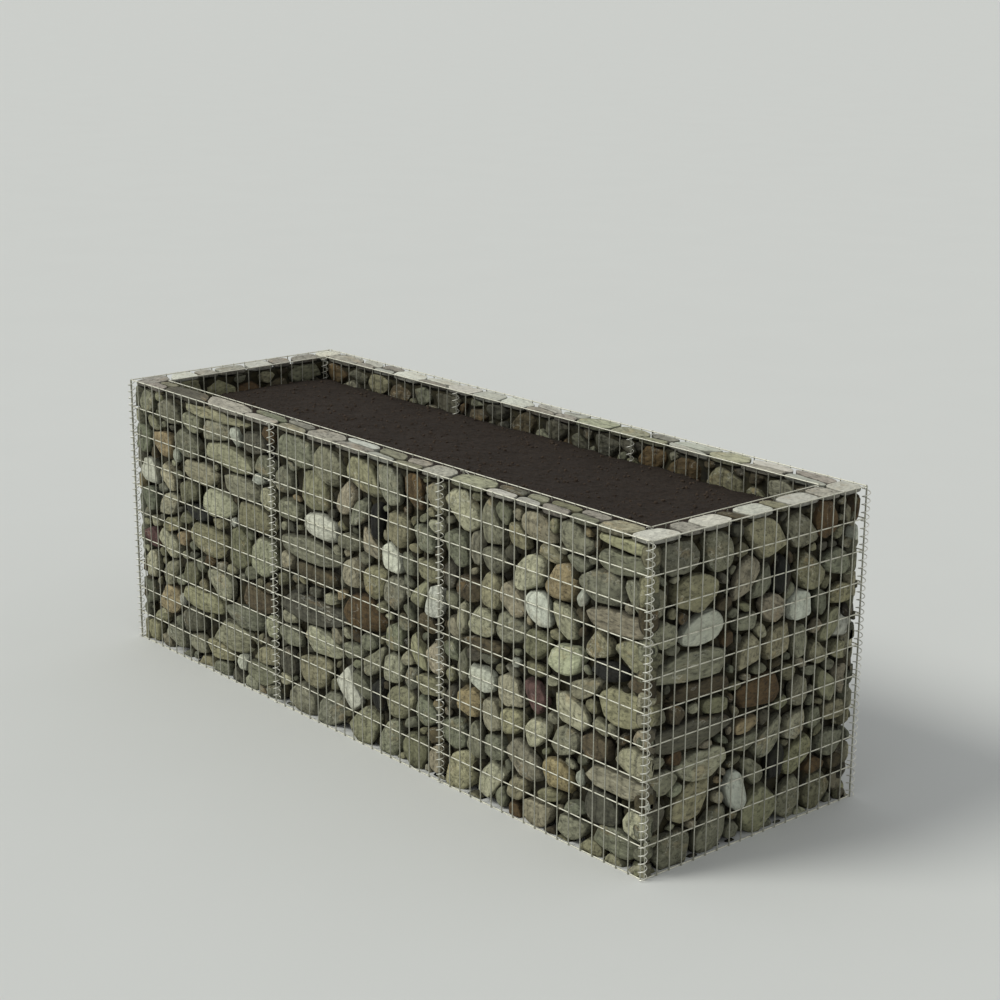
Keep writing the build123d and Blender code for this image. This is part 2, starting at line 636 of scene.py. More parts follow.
@dataclass(frozen=True)
class WeldedMesh:
    """The flat sheets of welded wire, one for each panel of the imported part."""

    cell_width: float = 50 * MM
    cell_height: float = 100 * MM
    sides: int = 8
    weld_spread: float = 1.4
    bend: float = 0.35 * MM
    waves: float = 7.0
    ease: float = 12.0
    cut: float = 0.03 * MM

    def tree(self) -> Builder:
        """Write the Geometry Nodes of one sheet.

        Returns:
            Tree of a sheet upright in XZ, with its level wires behind at +Y.
        """
        sizes = {"Width": 0.9, "Height": 1.0, "Wire": 4 * MM, "Columns": 18, "Rows": 10, "Bend": self.bend}
        made = Builder("welded_sheet", sizes)
        width, height, wire = made.size("Width"), made.size("Height"), made.size("Wire")
        columns, rows = made.size("Columns"), made.size("Rows")
        half = width * 0.5
        feet = made.spots(made.vector(0.0 - half), made.vector(half), columns + 1)
        upright = made.line(made.vector(z=self.cut), made.vector(z=height - self.cut), rows + 1)
        uprights = made.geometry("InstanceOnPoints", Points=feet, Instance=upright)
        uprights = self._bent(made, uprights, (1.0, 0.0, 0.0))

        low, top, reach = wire * 0.5, height - wire * 0.5, half + wire * 0.5
        steps = made.spots(made.vector(y=wire, z=low), made.vector(y=wire, z=top), rows + 1)
        level = made.line(made.vector(0.0 - reach), made.vector(reach), columns + 1)
        levels = made.geometry("InstanceOnPoints", Points=steps, Instance=level)
        levels = self._bent(made, levels, (0.0, 0.0, 1.0))
        # Mark the level wires, which the zinc finish paints with a highlight.
        store = {"data_type": "FLOAT", "domain": "POINT"}
        levels = made.geometry("StoreNamedAttribute", store, Geometry=levels, Name="level", Value=1.0)
        wires = made.tube(made.join(uprights, levels), wire, self.sides)

        counts = {"Vertices_X": columns + 1, "Vertices_Y": rows + 1}
        crossings = made.geometry("MeshGrid", Size_X=width, Size_Y=height - wire, **counts)
        middle = made.vector(y=wire * 0.5, z=height * 0.5)
        quarter = (math.pi / 2, 0.0, 0.0)
        crossings = made.geometry("Transform", Geometry=crossings, Rotation=quarter, Translation=middle)
        crossings = self._bent(made, crossings, (1.0, 0.0, 1.0))
        bead = made.geometry("MeshIcoSphere", Radius=wire * 0.5, Subdivisions=1)
        bead = made.geometry("Transform", Geometry=bead, Scale=(self.weld_spread, 1.0, 1.0))
        beads = made.geometry("InstanceOnPoints", Points=crossings, Instance=bead)
        made.end(made.join(wires, beads))
        return made

    def _bent(self, made: Builder, wires: object, along: Triple) -> Socket:
        """Bend wires a little, but never past the sheet's top and bottom.

        Args:
            made: Tree of the sheet.
            wires: The straight wires, or the points of their crossings.
            along: Share of the bend along X, Y and Z.

        Returns:
            The bent wires.
        """
        plain = made.geometry("RealizeInstances", Geometry=wires)
        height, wire = made.height(), made.size("Wire")
        rising = ((height - wire) * self.ease).least(1.0).most(0.0)
        falling = ((made.size("Height") - wire - height) * self.ease).least(1.0)
        return made.wander(plain, self.waves, made.size("Bend") * (rising * falling).most(0.0), along)

    def pieces(self, nodes: Iterable[str], finish: Material) -> None:
        """Draw every sheet and put it where its panel stands.

        Args:
            nodes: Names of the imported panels.
            finish: Material of the wires.
        """
        tree = self.tree()
        for node in nodes:
            low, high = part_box(node)
            side = Side.of(node)
            span, foot = high - low, (low + high) / 2
            wire = min(span.x, span.y) / 2
            width = max(span.x, span.y) - wire
            sizes = {
                "Width": width,
                "Height": high.z,
                "Wire": wire,
                "Columns": round(width / self.cell_width),
                "Rows": round((high.z - wire) / self.cell_height),
                "Bend": self.bend,
            }
            name = node.replace("_panel", "_welded_mesh")
            mesh = tree.grow(name, sizes, finish)
            foot -= side.inward * (wire / 2)
            foot.z = 0.0
            mesh.transform(Matrix.Translation(foot) @ Matrix.Rotation(side.turn, 4, "Z"))
            mounted(name, mesh, "mesh_wire", node)


@dataclass(frozen=True)
class BinderCoil:
    """The spirals that lace the sheets together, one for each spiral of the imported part."""

    wire: float = 3 * MM
    radius: float = 12.4 * MM
    turns_per_cell: int = 4
    first_seat: float = -2.44 * MM
    steps_per_turn: int = 14
    sides: int = 5
    slack: float = 0.12 * MM
    waves: float = 9.0

    def tree(self) -> Builder:
        """Write the Geometry Nodes of one coil.

        Returns:
            Tree of a coil about the Z axis.
        """
        sizes = {"Radius": 0.01, "Pitch": 0.02, "Wire": 0.003, "Low": 0.0, "High": 1.0}
        made = Builder("binder_coil", sizes | {"Seat": 0.0, "Seat Height": 0.0, "Slack": 0.0, "Steps": 100})
        low, high = made.vector(z=made.size("Low")), made.vector(z=made.size("High"))
        curve, height = made.line(low, high, made.size("Steps")), made.height()
        angle = made.size("Seat") + (height - made.size("Seat Height")) / made.size("Pitch") * math.tau
        radius = made.size("Radius")
        wound = made.vector(radius * angle.math("COSINE"), radius * angle.math("SINE"), height)
        curve = made.geometry("SetPosition", Geometry=curve, Position=wound)
        curve = made.wander(curve, self.waves, made.size("Slack"))
        made.end(made.tube(curve, made.size("Wire"), self.sides))
        return made

    @staticmethod
    def seat_angle(node: str) -> float:
        """Angle at which a coil meets the level wires.

        Args:
            node: Name of a packed spiral.

        Returns:
            The angle about its axis, in degrees.
        """
        if "joint" in node:
            return 180.0 if "front" in node else 0.0
        corners = {"front_left": 90.0, "front_right": 180.0, "back_right": 270.0, "back_left": 0.0}
        return next(angle for corner, angle in corners.items() if corner in node)

    def axis(self, node: str) -> Vector:
        """Foot of a coil's axis."""
        low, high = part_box(node)
        return Vector(((low.x + high.x) / 2, (low.y + high.y) / 2, 0.0))

    def pieces(self, nodes: Iterable[str], pitch: float, finish: Material) -> None:
        """Wind every coil in its place.

        Args:
            nodes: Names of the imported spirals.
            pitch: Height of one turn.
            finish: Material of the wire.
        """
        tree = self.tree()
        for node in nodes:
            low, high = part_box(node)
            bottom, top = low.z + self.wire / 2, high.z - self.wire / 2
            sizes = {
                "Radius": self.radius,
                "Pitch": pitch,
                "Wire": self.wire,
                "Low": bottom,
                "High": top,
                "Seat": math.radians(self.seat_angle(node)),
                "Seat Height": self.first_seat,
                "Slack": self.slack,
                "Steps": round((top - bottom) / pitch * self.steps_per_turn),
            }
            name = node.replace("_spiral", "_binder_coil")
            mesh = tree.grow(name, sizes, finish)
            mesh.transform(Matrix.Translation(self.axis(node)))
            mounted(name, mesh, "spiral_wire", node)


def mounted(name: str, mesh: Mesh, slot: str, *nodes: str) -> None:
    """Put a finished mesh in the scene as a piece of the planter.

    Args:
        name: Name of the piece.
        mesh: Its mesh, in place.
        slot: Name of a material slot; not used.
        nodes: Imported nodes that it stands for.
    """
    piece = bpy.data.objects.new(name, mesh)
    bpy.context.scene.collection.objects.link(piece)
    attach(piece, ROOT)
    if nodes:
        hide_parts(*nodes)
    LOG.info("%s: %d faces", name, len(mesh.polygons))


# Stones


@dataclass(frozen=True)
class Laid:
    """A stone that stands out on a face.

    Its place and size are in centimetres from the foot of the panel's left edge, and its tilt is
    in degrees. A stone that isn't alone has a like one at the same height below the middle.
    """

    along: float
    up: float
    length: float
    height: float
    tilt: float
    tone: Tone
    twin: Tone | None = None
    alone: bool = False


class FacePlan(Enum):
    """The stones that stand out on each kind of panel."""

    NEAR = (
        Laid(8.8, 91.6, 14.5, 11.5, -35, PALE, YELLOW),
        Laid(22.7, 89.8, 13.5, 9.5, -55, GREY, PALE),
        Laid(27.9, 93.2, 8.5, 5.5, -50, GREEN),
        Laid(34.1, 88.9, 12, 6.8, -35, BEIGE),
        Laid(43.4, 92.3, 13, 9.5, -30, PINK),
        Laid(47.5, 87.1, 15, 5.2, -22, BEIGE),
        Laid(58.5, 92.4, 12.5, 8, -15, GREY),
        Laid(60.4, 86.8, 9.5, 4.8, -12, GREEN),
        Laid(79.0, 96.5, 25, 4.2, -1, YELLOW, alone=True),
        Laid(78.6, 90.2, 21, 7.6, 0, GREY, GREEN),
        Laid(5.9, 79.4, 12.5, 10.5, -20, GREEN),
        Laid(15.6, 79.8, 11, 6.6, 88, GREY),
        Laid(23.8, 78.9, 9, 7, 0, GREEN),
        Laid(39.1, 78.9, 15.5, 10.5, 32, PALE, GREY),
        Laid(53.1, 79.1, 14, 11, 15, TAN),
        Laid(61.8, 76.4, 6, 3.6, 75, WHITE),
        Laid(71.4, 82.4, 16.5, 10.5, 0, GREY, DARK),
        Laid(85.0, 83.2, 11, 9, -40, GREY, PALE),
        Laid(76.4, 73.0, 25, 7, -1, PINK, GREY),
        Laid(3.1, 69.0, 9, 5.8, 90, DARK),
        Laid(12.4, 66.9, 9.8, 8.8, 0, BROWN, TAN),
        Laid(22.7, 68.7, 10.8, 8.4, 85, BEIGE, PINK),
        Laid(32.7, 67.6, 10.8, 8.2, -25, PINK, BEIGE),
        Laid(42.7, 68.4, 11.5, 9, -45, WHITE, PALE),
        Laid(54.9, 67.6, 13, 8, -35, PALE, GREY),
        Laid(69.1, 64.4, 11, 8, 0, OLIVE, BROWN),
        Laid(84.1, 64.4, 13, 8.6, 0, YELLOW, PALE),
        Laid(8.8, 57.3, 10, 4.5, 88, PALE, GREY),
        Laid(18.4, 58.2, 12.5, 8.4, 0, PALE, WHITE),
        Laid(31.3, 58.9, 13, 9.2, 0, GREY, PALE),
        Laid(42.6, 56.9, 12.5, 8.8, 25, OLIVE, MAROON),
        Laid(55.9, 56.2, 16.5, 8.2, 20, PALE),
        Laid(73.0, 58.2, 15, 5, 0, BLACK, alone=True),
        Laid(80.0, 48.0, 21, 11, 3, BEIGE, alone=True),
        Laid(22.0, 50.6, 20, 4, 0, BROWN, alone=True),
    )
    MIDDLE = (
        Laid(13.8, 93.0, 18, 10.5, -3, GREEN, GREY),
        Laid(29.1, 91.9, 15, 11, -35, GREY),
        Laid(49.9, 91.4, 19, 11, -32, YELLOW),
        Laid(63.4, 91.2, 14.5, 10.5, -45, GREY),
        Laid(75.2, 92.4, 13.5, 10.5, 86, RUST, OLIVE),
        Laid(87.0, 91.2, 11, 6, -60, PINK),
        Laid(5.2, 81.2, 10.5, 9, 0, GREY, DARK),
        Laid(20.6, 80.5, 19.5, 10.5, -8, BEIGE),
        Laid(39.9, 81.2, 15, 9, 58, PINK, WHITE),
        Laid(46.6, 78.4, 12.5, 6, 42, GREEN, GREY),
        Laid(56.6, 78.4, 13, 5.8, 88, BLACK),
        Laid(67.4, 78.0, 13.5, 10, -30, BEIGE),
        Laid(80.9, 78.0, 10.8, 8.5, 0, GREEN),
        Laid(7.0, 71.2, 14.5, 7.2, 0, GREY),
        Laid(24.9, 69.4, 19.8, 8.4, 2, WHITE, PALE),
        Laid(42.0, 67.6, 10.8, 5.4, -5, GREY),
        Laid(53.4, 69.0, 14, 7, -40, PINK, GREY),
        Laid(64.5, 67.2, 10.8, 9.4, -15, WHITE, PALE),
        Laid(73.4, 67.6, 7.8, 6.5, -60, GREEN),
        Laid(82.4, 67.6, 10.4, 6.6, 0, BEIGE),
        Laid(19.1, 59.1, 37, 8.2, -2, GREY, DARK),
        Laid(43.4, 57.6, 11, 9.2, 75, PINK, alone=True),
        Laid(55.6, 58.4, 13, 9.6, 45, BEIGE, alone=True),
        Laid(65.6, 56.9, 10.8, 8.6, 88, GREY),
        Laid(78.4, 58.5, 13.5, 5.8, 58, YELLOW),
        Laid(86.3, 57.6, 11.5, 8.2, 45, WHITE, PINK),
        Laid(23.4, 51.2, 28, 5.4, 0, BROWN, alone=True),
        Laid(48.5, 44.5, 21, 10.5, 0, RUST, alone=True),
    )
    FAR = (
        Laid(7.9, 92.6, 12, 9, 75, GREY, BEIGE),
        Laid(11.5, 86.6, 13.5, 5, -25, BEIGE),
        Laid(22.8, 91.6, 12.5, 8, -10, GREY),
        Laid(37.9, 90.4, 13, 7, 0, GREY),
        Laid(55.0, 96.4, 48, 4.4, 0, YELLOW, alone=True),
        Laid(51.4, 89.8, 17, 7.4, 0, GREY, BEIGE),
        Laid(66.1, 90.4, 8.5, 5.6, -60, WHITE),
        Laid(79.3, 90.6, 18.5, 7.2, 0, DARK, GREY),
        Laid(18.1, 79.1, 13.8, 11, 15, TAN),
        Laid(4.6, 79.0, 10.2, 9.4, 80, GREEN),
        Laid(34.9, 82.4, 15.5, 10.4, 0, GREEN, DARK),
        Laid(26.4, 76.4, 6, 4, 80, WHITE),
        Laid(61.3, 81.8, 30, 10, -3, PINK, PALE),
        Laid(84.0, 83.2, 13, 8, -10, GREEN, BEIGE),
        Laid(41.3, 73.0, 26.5, 7, 0, PINK, BEIGE),
        Laid(69.1, 72.8, 24, 7.4, -2, GREY, GREEN),
        Laid(85.9, 71.9, 8.5, 8, -40, PALE),
        Laid(7.7, 67.3, 11.4, 9, -50, WHITE, PALE),
        Laid(19.9, 67.6, 13, 7.4, -35, PINK, GREY),
        Laid(33.8, 64.6, 12, 7.8, 0, OLIVE),
        Laid(53.1, 64.2, 19.5, 10, 0, PALE),
        Laid(76.3, 63.4, 24.5, 8.5, -3, OLIVE, BROWN),
        Laid(7.7, 56.6, 11.5, 8.2, 0, GREEN, MAROON),
        Laid(19.9, 56.4, 15, 7.6, 20, PALE),
        Laid(40.6, 58.0, 14.5, 5.4, 0, BLACK, alone=True),
        Laid(47.0, 48.9, 25.5, 10.4, 3, OLIVE, alone=True),
        Laid(66.3, 50.2, 14.5, 12, 88, OLIVE, alone=True),
        Laid(82.0, 50.6, 14.2, 13, 0, PALE, alone=True),
    )


@dataclass(frozen=True)
class Slab:
    """A flat stone of the rim: its length in centimetres, its tone and that of one beside it."""

    length: float
    tone: Tone
    beside: Tone | None = None


class RimPlan(Enum):
    """Slabs that lie in a known order on the rim, seen from outside."""

    FRONT = (
        Slab(10, ROSE, PINK),
        Slab(24, DARK),
        Slab(28, ROSE),
        Slab(19, ROSE, GREY),
        Slab(17, PINK, ROSE),
        Slab(18, ROSE),
        Slab(17, ROSE, CHALK),
        Slab(14, CHALK, GREY),
        Slab(13, PALE, ROSE),
        Slab(13.5, ROSE),
        Slab(18, PALE),
        Slab(13, CHALK, DARK),
        Slab(10, CHALK, GREY),
        Slab(13, ROSE, BEIGE),
        Slab(12, GREY, ROSE),
        Slab(13.3, PINK),
    )
    RIGHT_END = (
        Slab(13, CHALK),
        Slab(8.5, ROSE),
        Slab(13, CHALK),
        Slab(4.5, BROWN),
        Slab(13, CHALK),
        Slab(5.5, PINK),
        Slab(13.5, CHALK),
        Slab(9, ROSE),
        Slab(10.5, CHALK),
    )


@dataclass(frozen=True)
class Grade:
    """One size of filling stones: half lengths, height shares, usual tilt in degrees and tries."""

    smallest: float
    largest: float
    height: tuple[float, float]
    tilt: float
    tries: int


@dataclass(frozen=True)
class Strip:
    """A flat strip to lay stones on, with the seams and coils that they keep clear of."""

    length: float
    low: float
    high: float
    seams: tuple[float, ...] = ()
    posts: tuple[Triple, ...] = ()


class Ellipse(NamedTuple):
    """First shape of a stone: its place along and up, its half sizes and its tilt in radians."""

    u: float
    v: float
    length: float
    height: float
    tilt: float


@dataclass
class Packing:
    """Stones side by side on a strip.

    A point belongs to the stone whose ellipse it is nearest to, measured in that ellipse's own
    size. Planned and filling stones outgrow their ellipses by the two shares of growth at most,
    and then break off straight. Squareness is 2 for an ellipse and more for a block, and unsteady
    is the usual tilt of slabs and stacked stones in degrees.
    """

    CELL = 4 * MM
    SPOKES = 26
    PANEL_WIDTH = 90.0
    MIRROR_HEIGHT = 48.9
    FILLERS = {
        GREY: 6, GREEN: 5, BEIGE: 5, PALE: 3, PINK: 3, OLIVE: 3,
        BROWN: 3, DARK: 3, YELLOW: 1, WHITE: 1, TAN: 0.6, RUST: 0.8,
    }

    strip: Strip
    seed: int
    growth: tuple[float, float]
    gap: float = 7.6 * MM
    breaks: int = 5
    squareness: tuple[float, float] = (2.3, 5.5)
    core: float = 0.76
    least_reach: float = 0.35
    neighbours: float = 1.6
    unsteady: float = 6.0
    column_spread: float = 8 * MM
    wobble: float = 0.085
    broken_at: tuple[float, float] = (0.86, 1.04)
    slab_width: float = 0.94
    slab_shift: float = 0.05
    slab_rest: float = 0.6

    def __post_init__(self) -> None:
        """Start with an empty strip."""
        self.random = np.random.default_rng(self.seed)
        self.rows: list[Ellipse] = []
        self.tones: list[Tone] = []
        self.planned = 0
        columns = math.ceil(self.strip.length / self.CELL)
        lines = math.ceil((self.strip.high - self.strip.low) / self.CELL)
        self.free = np.ones((columns, lines), bool)
        for u, v, reach in self.strip.posts:
            self._mark(Ellipse(u, v, reach, reach, 0.0))

    def add(self, tone: Tone, *sizes: float) -> None:
        """Lay one stone.

        Args:
            tone: Its tone.
            sizes: Sizes of its ellipse.
        """
        self.tones.append(tone)
        self.rows.append(Ellipse(*sizes))
        self._mark(self.rows[-1])

    def lay(self, plan: FacePlan, start: float, mirrored: bool) -> None:
        """Lay the stones of a panel's plan.

        Args:
            plan: The plan.
            start: Place of the panel's left edge along the strip.
            mirrored: Whether the plan runs from right to left.
        """
        for stone in plan.value:
            along = self.PANEL_WIDTH - stone.along if mirrored else stone.along
            tilt = math.radians(-stone.tilt if mirrored else stone.tilt)
            halves = (stone.length / 2 * CM, stone.height / 2 * CM)
            self.add(stone.tone, start + along * CM, stone.up * CM, *halves, tilt)
            if not stone.alone:
                below = (2 * self.MIRROR_HEIGHT - stone.up) * CM
                self.add(stone.twin or stone.tone, start + along * CM, below, *halves, -tilt)
        self.planned = len(self.rows)

    def draw_slabs(
        self, room: float, lengths: tuple[float, float], halved: float, tones: dict[Tone, float]
    ) -> list[Slab]:
        """Draw slabs for a stretch of the rim.

        Args:
            room: Length of the stretch in centimetres.
            lengths: Shortest and longest slab.
            halved: Share of the places where two narrow slabs lie side by side.
            tones: Shares of the tones.

        Returns:
            Slabs that fill the stretch.
        """
        made = []
        while room > 0:
            length = self.random.uniform(*lengths)
            length = room if room - length < lengths[0] * self.slab_rest else length
            beside = self._tone(tones) if self.random.random() < halved else None
            made.append(Slab(length, self._tone(tones), beside))
            room -= length
        return made

    def course(self, slabs: Sequence[Slab], lean: float) -> None:
        """Lay one row of slabs from end to end.

        Args:
            slabs: The slabs.
            lean: Usual tilt of a slab in degrees, which slants the joints.
        """
        low, high = self.strip.low, self.strip.high
        half, start = (high - low) / 2, 0.0
        for slab in slabs:
            length = slab.length * CM
            share = self.random.uniform(0.4, 0.6)
            rows = [((low + high) / 2, half * self.slab_width, slab.tone)]
            if slab.beside:
                rows = [(low + half * share, half * share, slab.tone)]
                rows.append((high - half * (1 - share), half * (1 - share), slab.beside))
            for v, reach, tone in rows:
                tilt = math.radians(self.random.normal(lean, self.unsteady))
                shift = self.random.uniform(-self.slab_shift, self.slab_shift) * length
                self.add(tone, start + length / 2 + shift, v, length / 2, reach, tilt)
            start += length
        self.planned = len(self.rows)

    def stack(self, *sizes: float) -> None:
        """Lay one planned stone of a usual tone, hardly tilted.

        Args:
            sizes: Sizes of its ellipse without the tilt.
        """
        tilt = math.radians(self.random.normal(0.0, self.unsteady))
        self.add(self._tone(self.FILLERS), *sizes, tilt)
        self.planned = len(self.rows)

    def _tone(self, shares: dict[Tone, float]) -> Tone:
        """Draw a tone.

        Args:
            shares: Share of each tone.

        Returns:
            The drawn one.
        """
        names = list(shares)
        chances = np.array([shares[name] for name in names], float)
        return names[self.random.choice(len(names), p=chances / chances.sum())]

    def fill(
        self, grades: Sequence[Grade], tones: dict[Tone, float] = FILLERS, places: Sequence[float] = ()
    ) -> None:
        """Drop filling stones, from large to small, where they find room.

        Args:
            grades: Their sizes.
            tones: Shares of the tones.
            places: Places along the strip to fill; without any, the whole strip.
        """
        for grade in grades:
            for _ in range(grade.tries):
                spots = np.argwhere(self.free)
                if not len(spots):
                    return
                column, line = spots[self.random.integers(len(spots))]
                u = (column + self.random.random()) * self.CELL
                if places:
                    place = places[self.random.integers(len(places))]
                    u = place + self.random.uniform(-self.column_spread, self.column_spread)
                v = self.strip.low + (line + self.random.random()) * self.CELL
                length = self.random.uniform(grade.smallest, grade.largest)
                height = length * self.random.uniform(*grade.height)
                tilt = math.radians(self.random.normal(0.0, grade.tilt))
                if self._fits(Ellipse(u, v, length, height, tilt)):
                    self.add(self._tone(tones), u, v, length, height, tilt)

    def _index(self, u: Array, v: Array) -> tuple[Array, Array, Array]:
        """Find the grid's cells under points.

        Args:
            u: Places along the strip.
            v: Places up the strip.

        Returns:
            Columns, lines, and which of the points lie on the strip.
        """
        column = np.floor(u / self.CELL).astype(int)
        line = np.floor((v - self.strip.low) / self.CELL).astype(int)
        columns, lines = self.free.shape
        return column, line, (column >= 0) & (column < columns) & (line >= 0) & (line < lines)

    def _fits(self, stone: Ellipse) -> bool:
        """Test whether two rings inside an ellipse find room.

        Args:
            stone: The ellipse.

        Returns:
            Whether all their points are free.
        """
        angle = np.linspace(0.0, math.tau, 20, endpoint=False)
        ring = np.stack([np.cos(angle), np.sin(angle)])
        rings = np.concatenate([ring * self.core, ring * (self.core * 0.55)], 1)
        x, y = rings * [[stone.length], [stone.height]]
        c, s = math.cos(stone.tilt), math.sin(stone.tilt)
        column, line, inside = self._index(stone.u + x * c - y * s, stone.v + x * s + y * c)
        return bool(inside.all() and self.free[column, line].all())

    def _mark(self, stone: Ellipse) -> None:
        """Take an ellipse's cells out of the free ones.

        Args:
            stone: The ellipse.
        """
        u, v, length, height, tilt = stone
        reach = max(length, height)
        steps = np.arange(-reach, reach + self.CELL / 2, self.CELL / 2)
        x, y = np.meshgrid(steps, steps, indexing="ij")
        c, s = math.cos(tilt), math.sin(tilt)
        within = ((x * c + y * s) / length) ** 2 + ((y * c - x * s) / height) ** 2 <= 1.0
        column, line, inside = self._index(u + x, v + y)
        taken = within & inside
        self.free[column[taken], line[taken]] = False

    def outlines(self) -> Array:
        """Grow every stone until it meets others, its breaks or the strip's limits.

        Returns:
            Array of stones by spokes, closer together towards a stone's ends: along and up from
            the stone's middle, in metres.
        """
        stones = np.array(self.rows)
        places, shapes = stones[:, :2], self._shapes(stones)
        turns = np.arange(self.SPOKES) * math.tau / self.SPOKES
        outlines = np.empty((len(stones), self.SPOKES, 2))
        for i, (place, stone) in enumerate(zip(places, self.rows)):
            angle = np.arctan2(stone.height * np.sin(turns), stone.length * np.cos(turns)) + stone.tilt
            spokes = np.stack([np.cos(angle), np.sin(angle)], 1)
            offset = place - places
            near = np.hypot(*offset.T) < (stones[:, 2] + stone.length) * self.neighbours
            near[i] = False
            own = self._quadratic(spokes, shapes[i])
            most = self.growth[0] if i < self.planned else self.growth[1]
            local = self._local(spokes, stone)
            reach = self._wobble(angle) * most * self._block(local)
            met = self._meetings(spokes, own, offset[near], shapes[near])
            reach = np.minimum(reach, met - self.gap / 2)
            reach = np.minimum(reach, self._bounds(spokes, place))
            reach = np.minimum(reach, self._chords(local, reach))
            reach = np.maximum(reach, self.least_reach * min(stone.length, stone.height))
            outlines[i] = self._rounded(reach)[:, None] * spokes
        return outlines

    @staticmethod
    def _shapes(stones: Array) -> Array:
        """Work out the ellipses' own measures.

        Args:
            stones: The stones' rows.

        Returns:
            Matrix of each ellipse, in which its own edge is at distance 1.
        """
        c, s = np.cos(stones[:, 4]), np.sin(stones[:, 4])
        p, q = 1 / stones[:, 2] ** 2, 1 / stones[:, 3] ** 2
        cross = c * s * (p - q)
        first = np.stack([c * c * p + s * s * q, cross], 1)
        return np.stack([first, np.stack([cross, s * s * p + c * c * q], 1)], 1)

    @staticmethod
    def _quadratic(spokes: Array, shape: Array) -> Array:
        """Squared size of each spoke in an ellipse's measure."""
        return np.einsum("ki,...ij,kj->...k", spokes, shape, spokes)

    def _meetings(self, spokes: Array, own: Array, offset: Array, shapes: Array) -> Array:
        """Find where the nearest neighbours take over.

        Args:
            spokes: Directions from the stone's middle.
            own: Squared size of each spoke in the stone's own measure.
            offset: Way to the stone's middle from each neighbour's.
            shapes: Matrix of each neighbour.

        Returns:
            Distance along each spoke.
        """
        if not len(offset):
            return np.full(len(spokes), np.inf)
        slope = np.einsum("ki,nij,nj->nk", spokes, shapes, offset)
        level = np.einsum("ni,nij,nj->n", offset, shapes, offset)[:, None]
        bend = own[None, :] - self._quadratic(spokes, shapes)
        bend = np.where(np.abs(bend) < 1e-6, 1e-6, bend)
        root = slope**2 + bend * level
        square = np.sqrt(np.maximum(root, 0.0))
        roots = np.stack([(slope - square) / bend, (slope + square) / bend])
        return np.where((roots > 0) & (root >= 0), roots, np.inf).min(axis=(0, 1))

    @staticmethod
    def _local(spokes: Array, stone: Ellipse) -> Array:
        """Spokes along a stone's own axes, in shares of its half sizes."""
        c, s = math.cos(stone.tilt), math.sin(stone.tilt)
        return spokes @ np.array([[c, -s], [s, c]]) / (stone.length, stone.height)

    def _block(self, local: Array) -> Array:
        """Radius of a stone before it meets others, between an ellipse and a block."""
        power = self.random.uniform(*self.squareness)
        return (np.abs(local) ** power).sum(1) ** (-1 / power)

    def _wobble(self, angle: Array) -> Array:
        """Draw an uneven outline.

        Args:
            angle: Direction of each spoke.

        Returns:
            Radii about 1.
        """
        return 1.0 + sum(
            self.random.normal(0.0, self.wobble / order)
            * np.cos(order * angle + self.random.uniform(0, math.tau))
            for order in (2, 3, 4)
        )

    def _chords(self, local: Array, outline: Array) -> Array:
        """Draw straight breaks, steeper across a stone's short axis.

        Args:
            local: Spokes along the stone's own axes.
            outline: Its radii.

        Returns:
            Distance of the nearest break along each spoke.
        """
        reach = np.full(len(local), np.inf)
        for _ in range(self.breaks):
            towards = self.random.integers(len(local))
            level = self.random.uniform(*self.broken_at) * outline[towards]
            lean = local @ local[towards] / (local[towards] @ local[towards])
            reach = np.minimum(reach, np.where(lean > 0.05, level / np.maximum(lean, 0.05), np.inf))
        return reach

    def _bounds(self, spokes: Array, place: Array) -> Array:
        """Find the strip's edges, seams and posts.

        Args:
            spokes: Directions from the stone's middle.
            place: That middle.

        Returns:
            Distance along each spoke.
        """
        walls = [(1, self.strip.low), (1, self.strip.high), (0, 0.0), (0, self.strip.length)]
        walls += [(0, seam) for seam in self.strip.seams]
        reach = np.full(len(spokes), np.inf)
        for axis, wall in walls:
            span = wall - place[axis]
            if span:
                towards = spokes[:, axis] * math.copysign(1.0, span)
                far = np.where(towards > 1e-4, abs(span) / np.maximum(towards, 1e-4), np.inf)
                reach = np.minimum(reach, far)
        for u, v, radius in self.strip.posts:
            away = np.array([u, v]) - place
            along = spokes @ away
            side = away @ away - along**2
            near = np.minimum(reach, along - np.sqrt(np.maximum(radius**2 - side, 0.0)))
            reach = np.where((along > 0) & (side < radius**2), near, reach)
        return reach

    @staticmethod
    def _rounded(reach: Array) -> Array:
        """Take the sharp corners off an outline."""
        smooth = (np.roll(reach, -1) + 2.0 * reach + np.roll(reach, 1)) / 4
        return np.minimum(smooth, reach * 1.03)


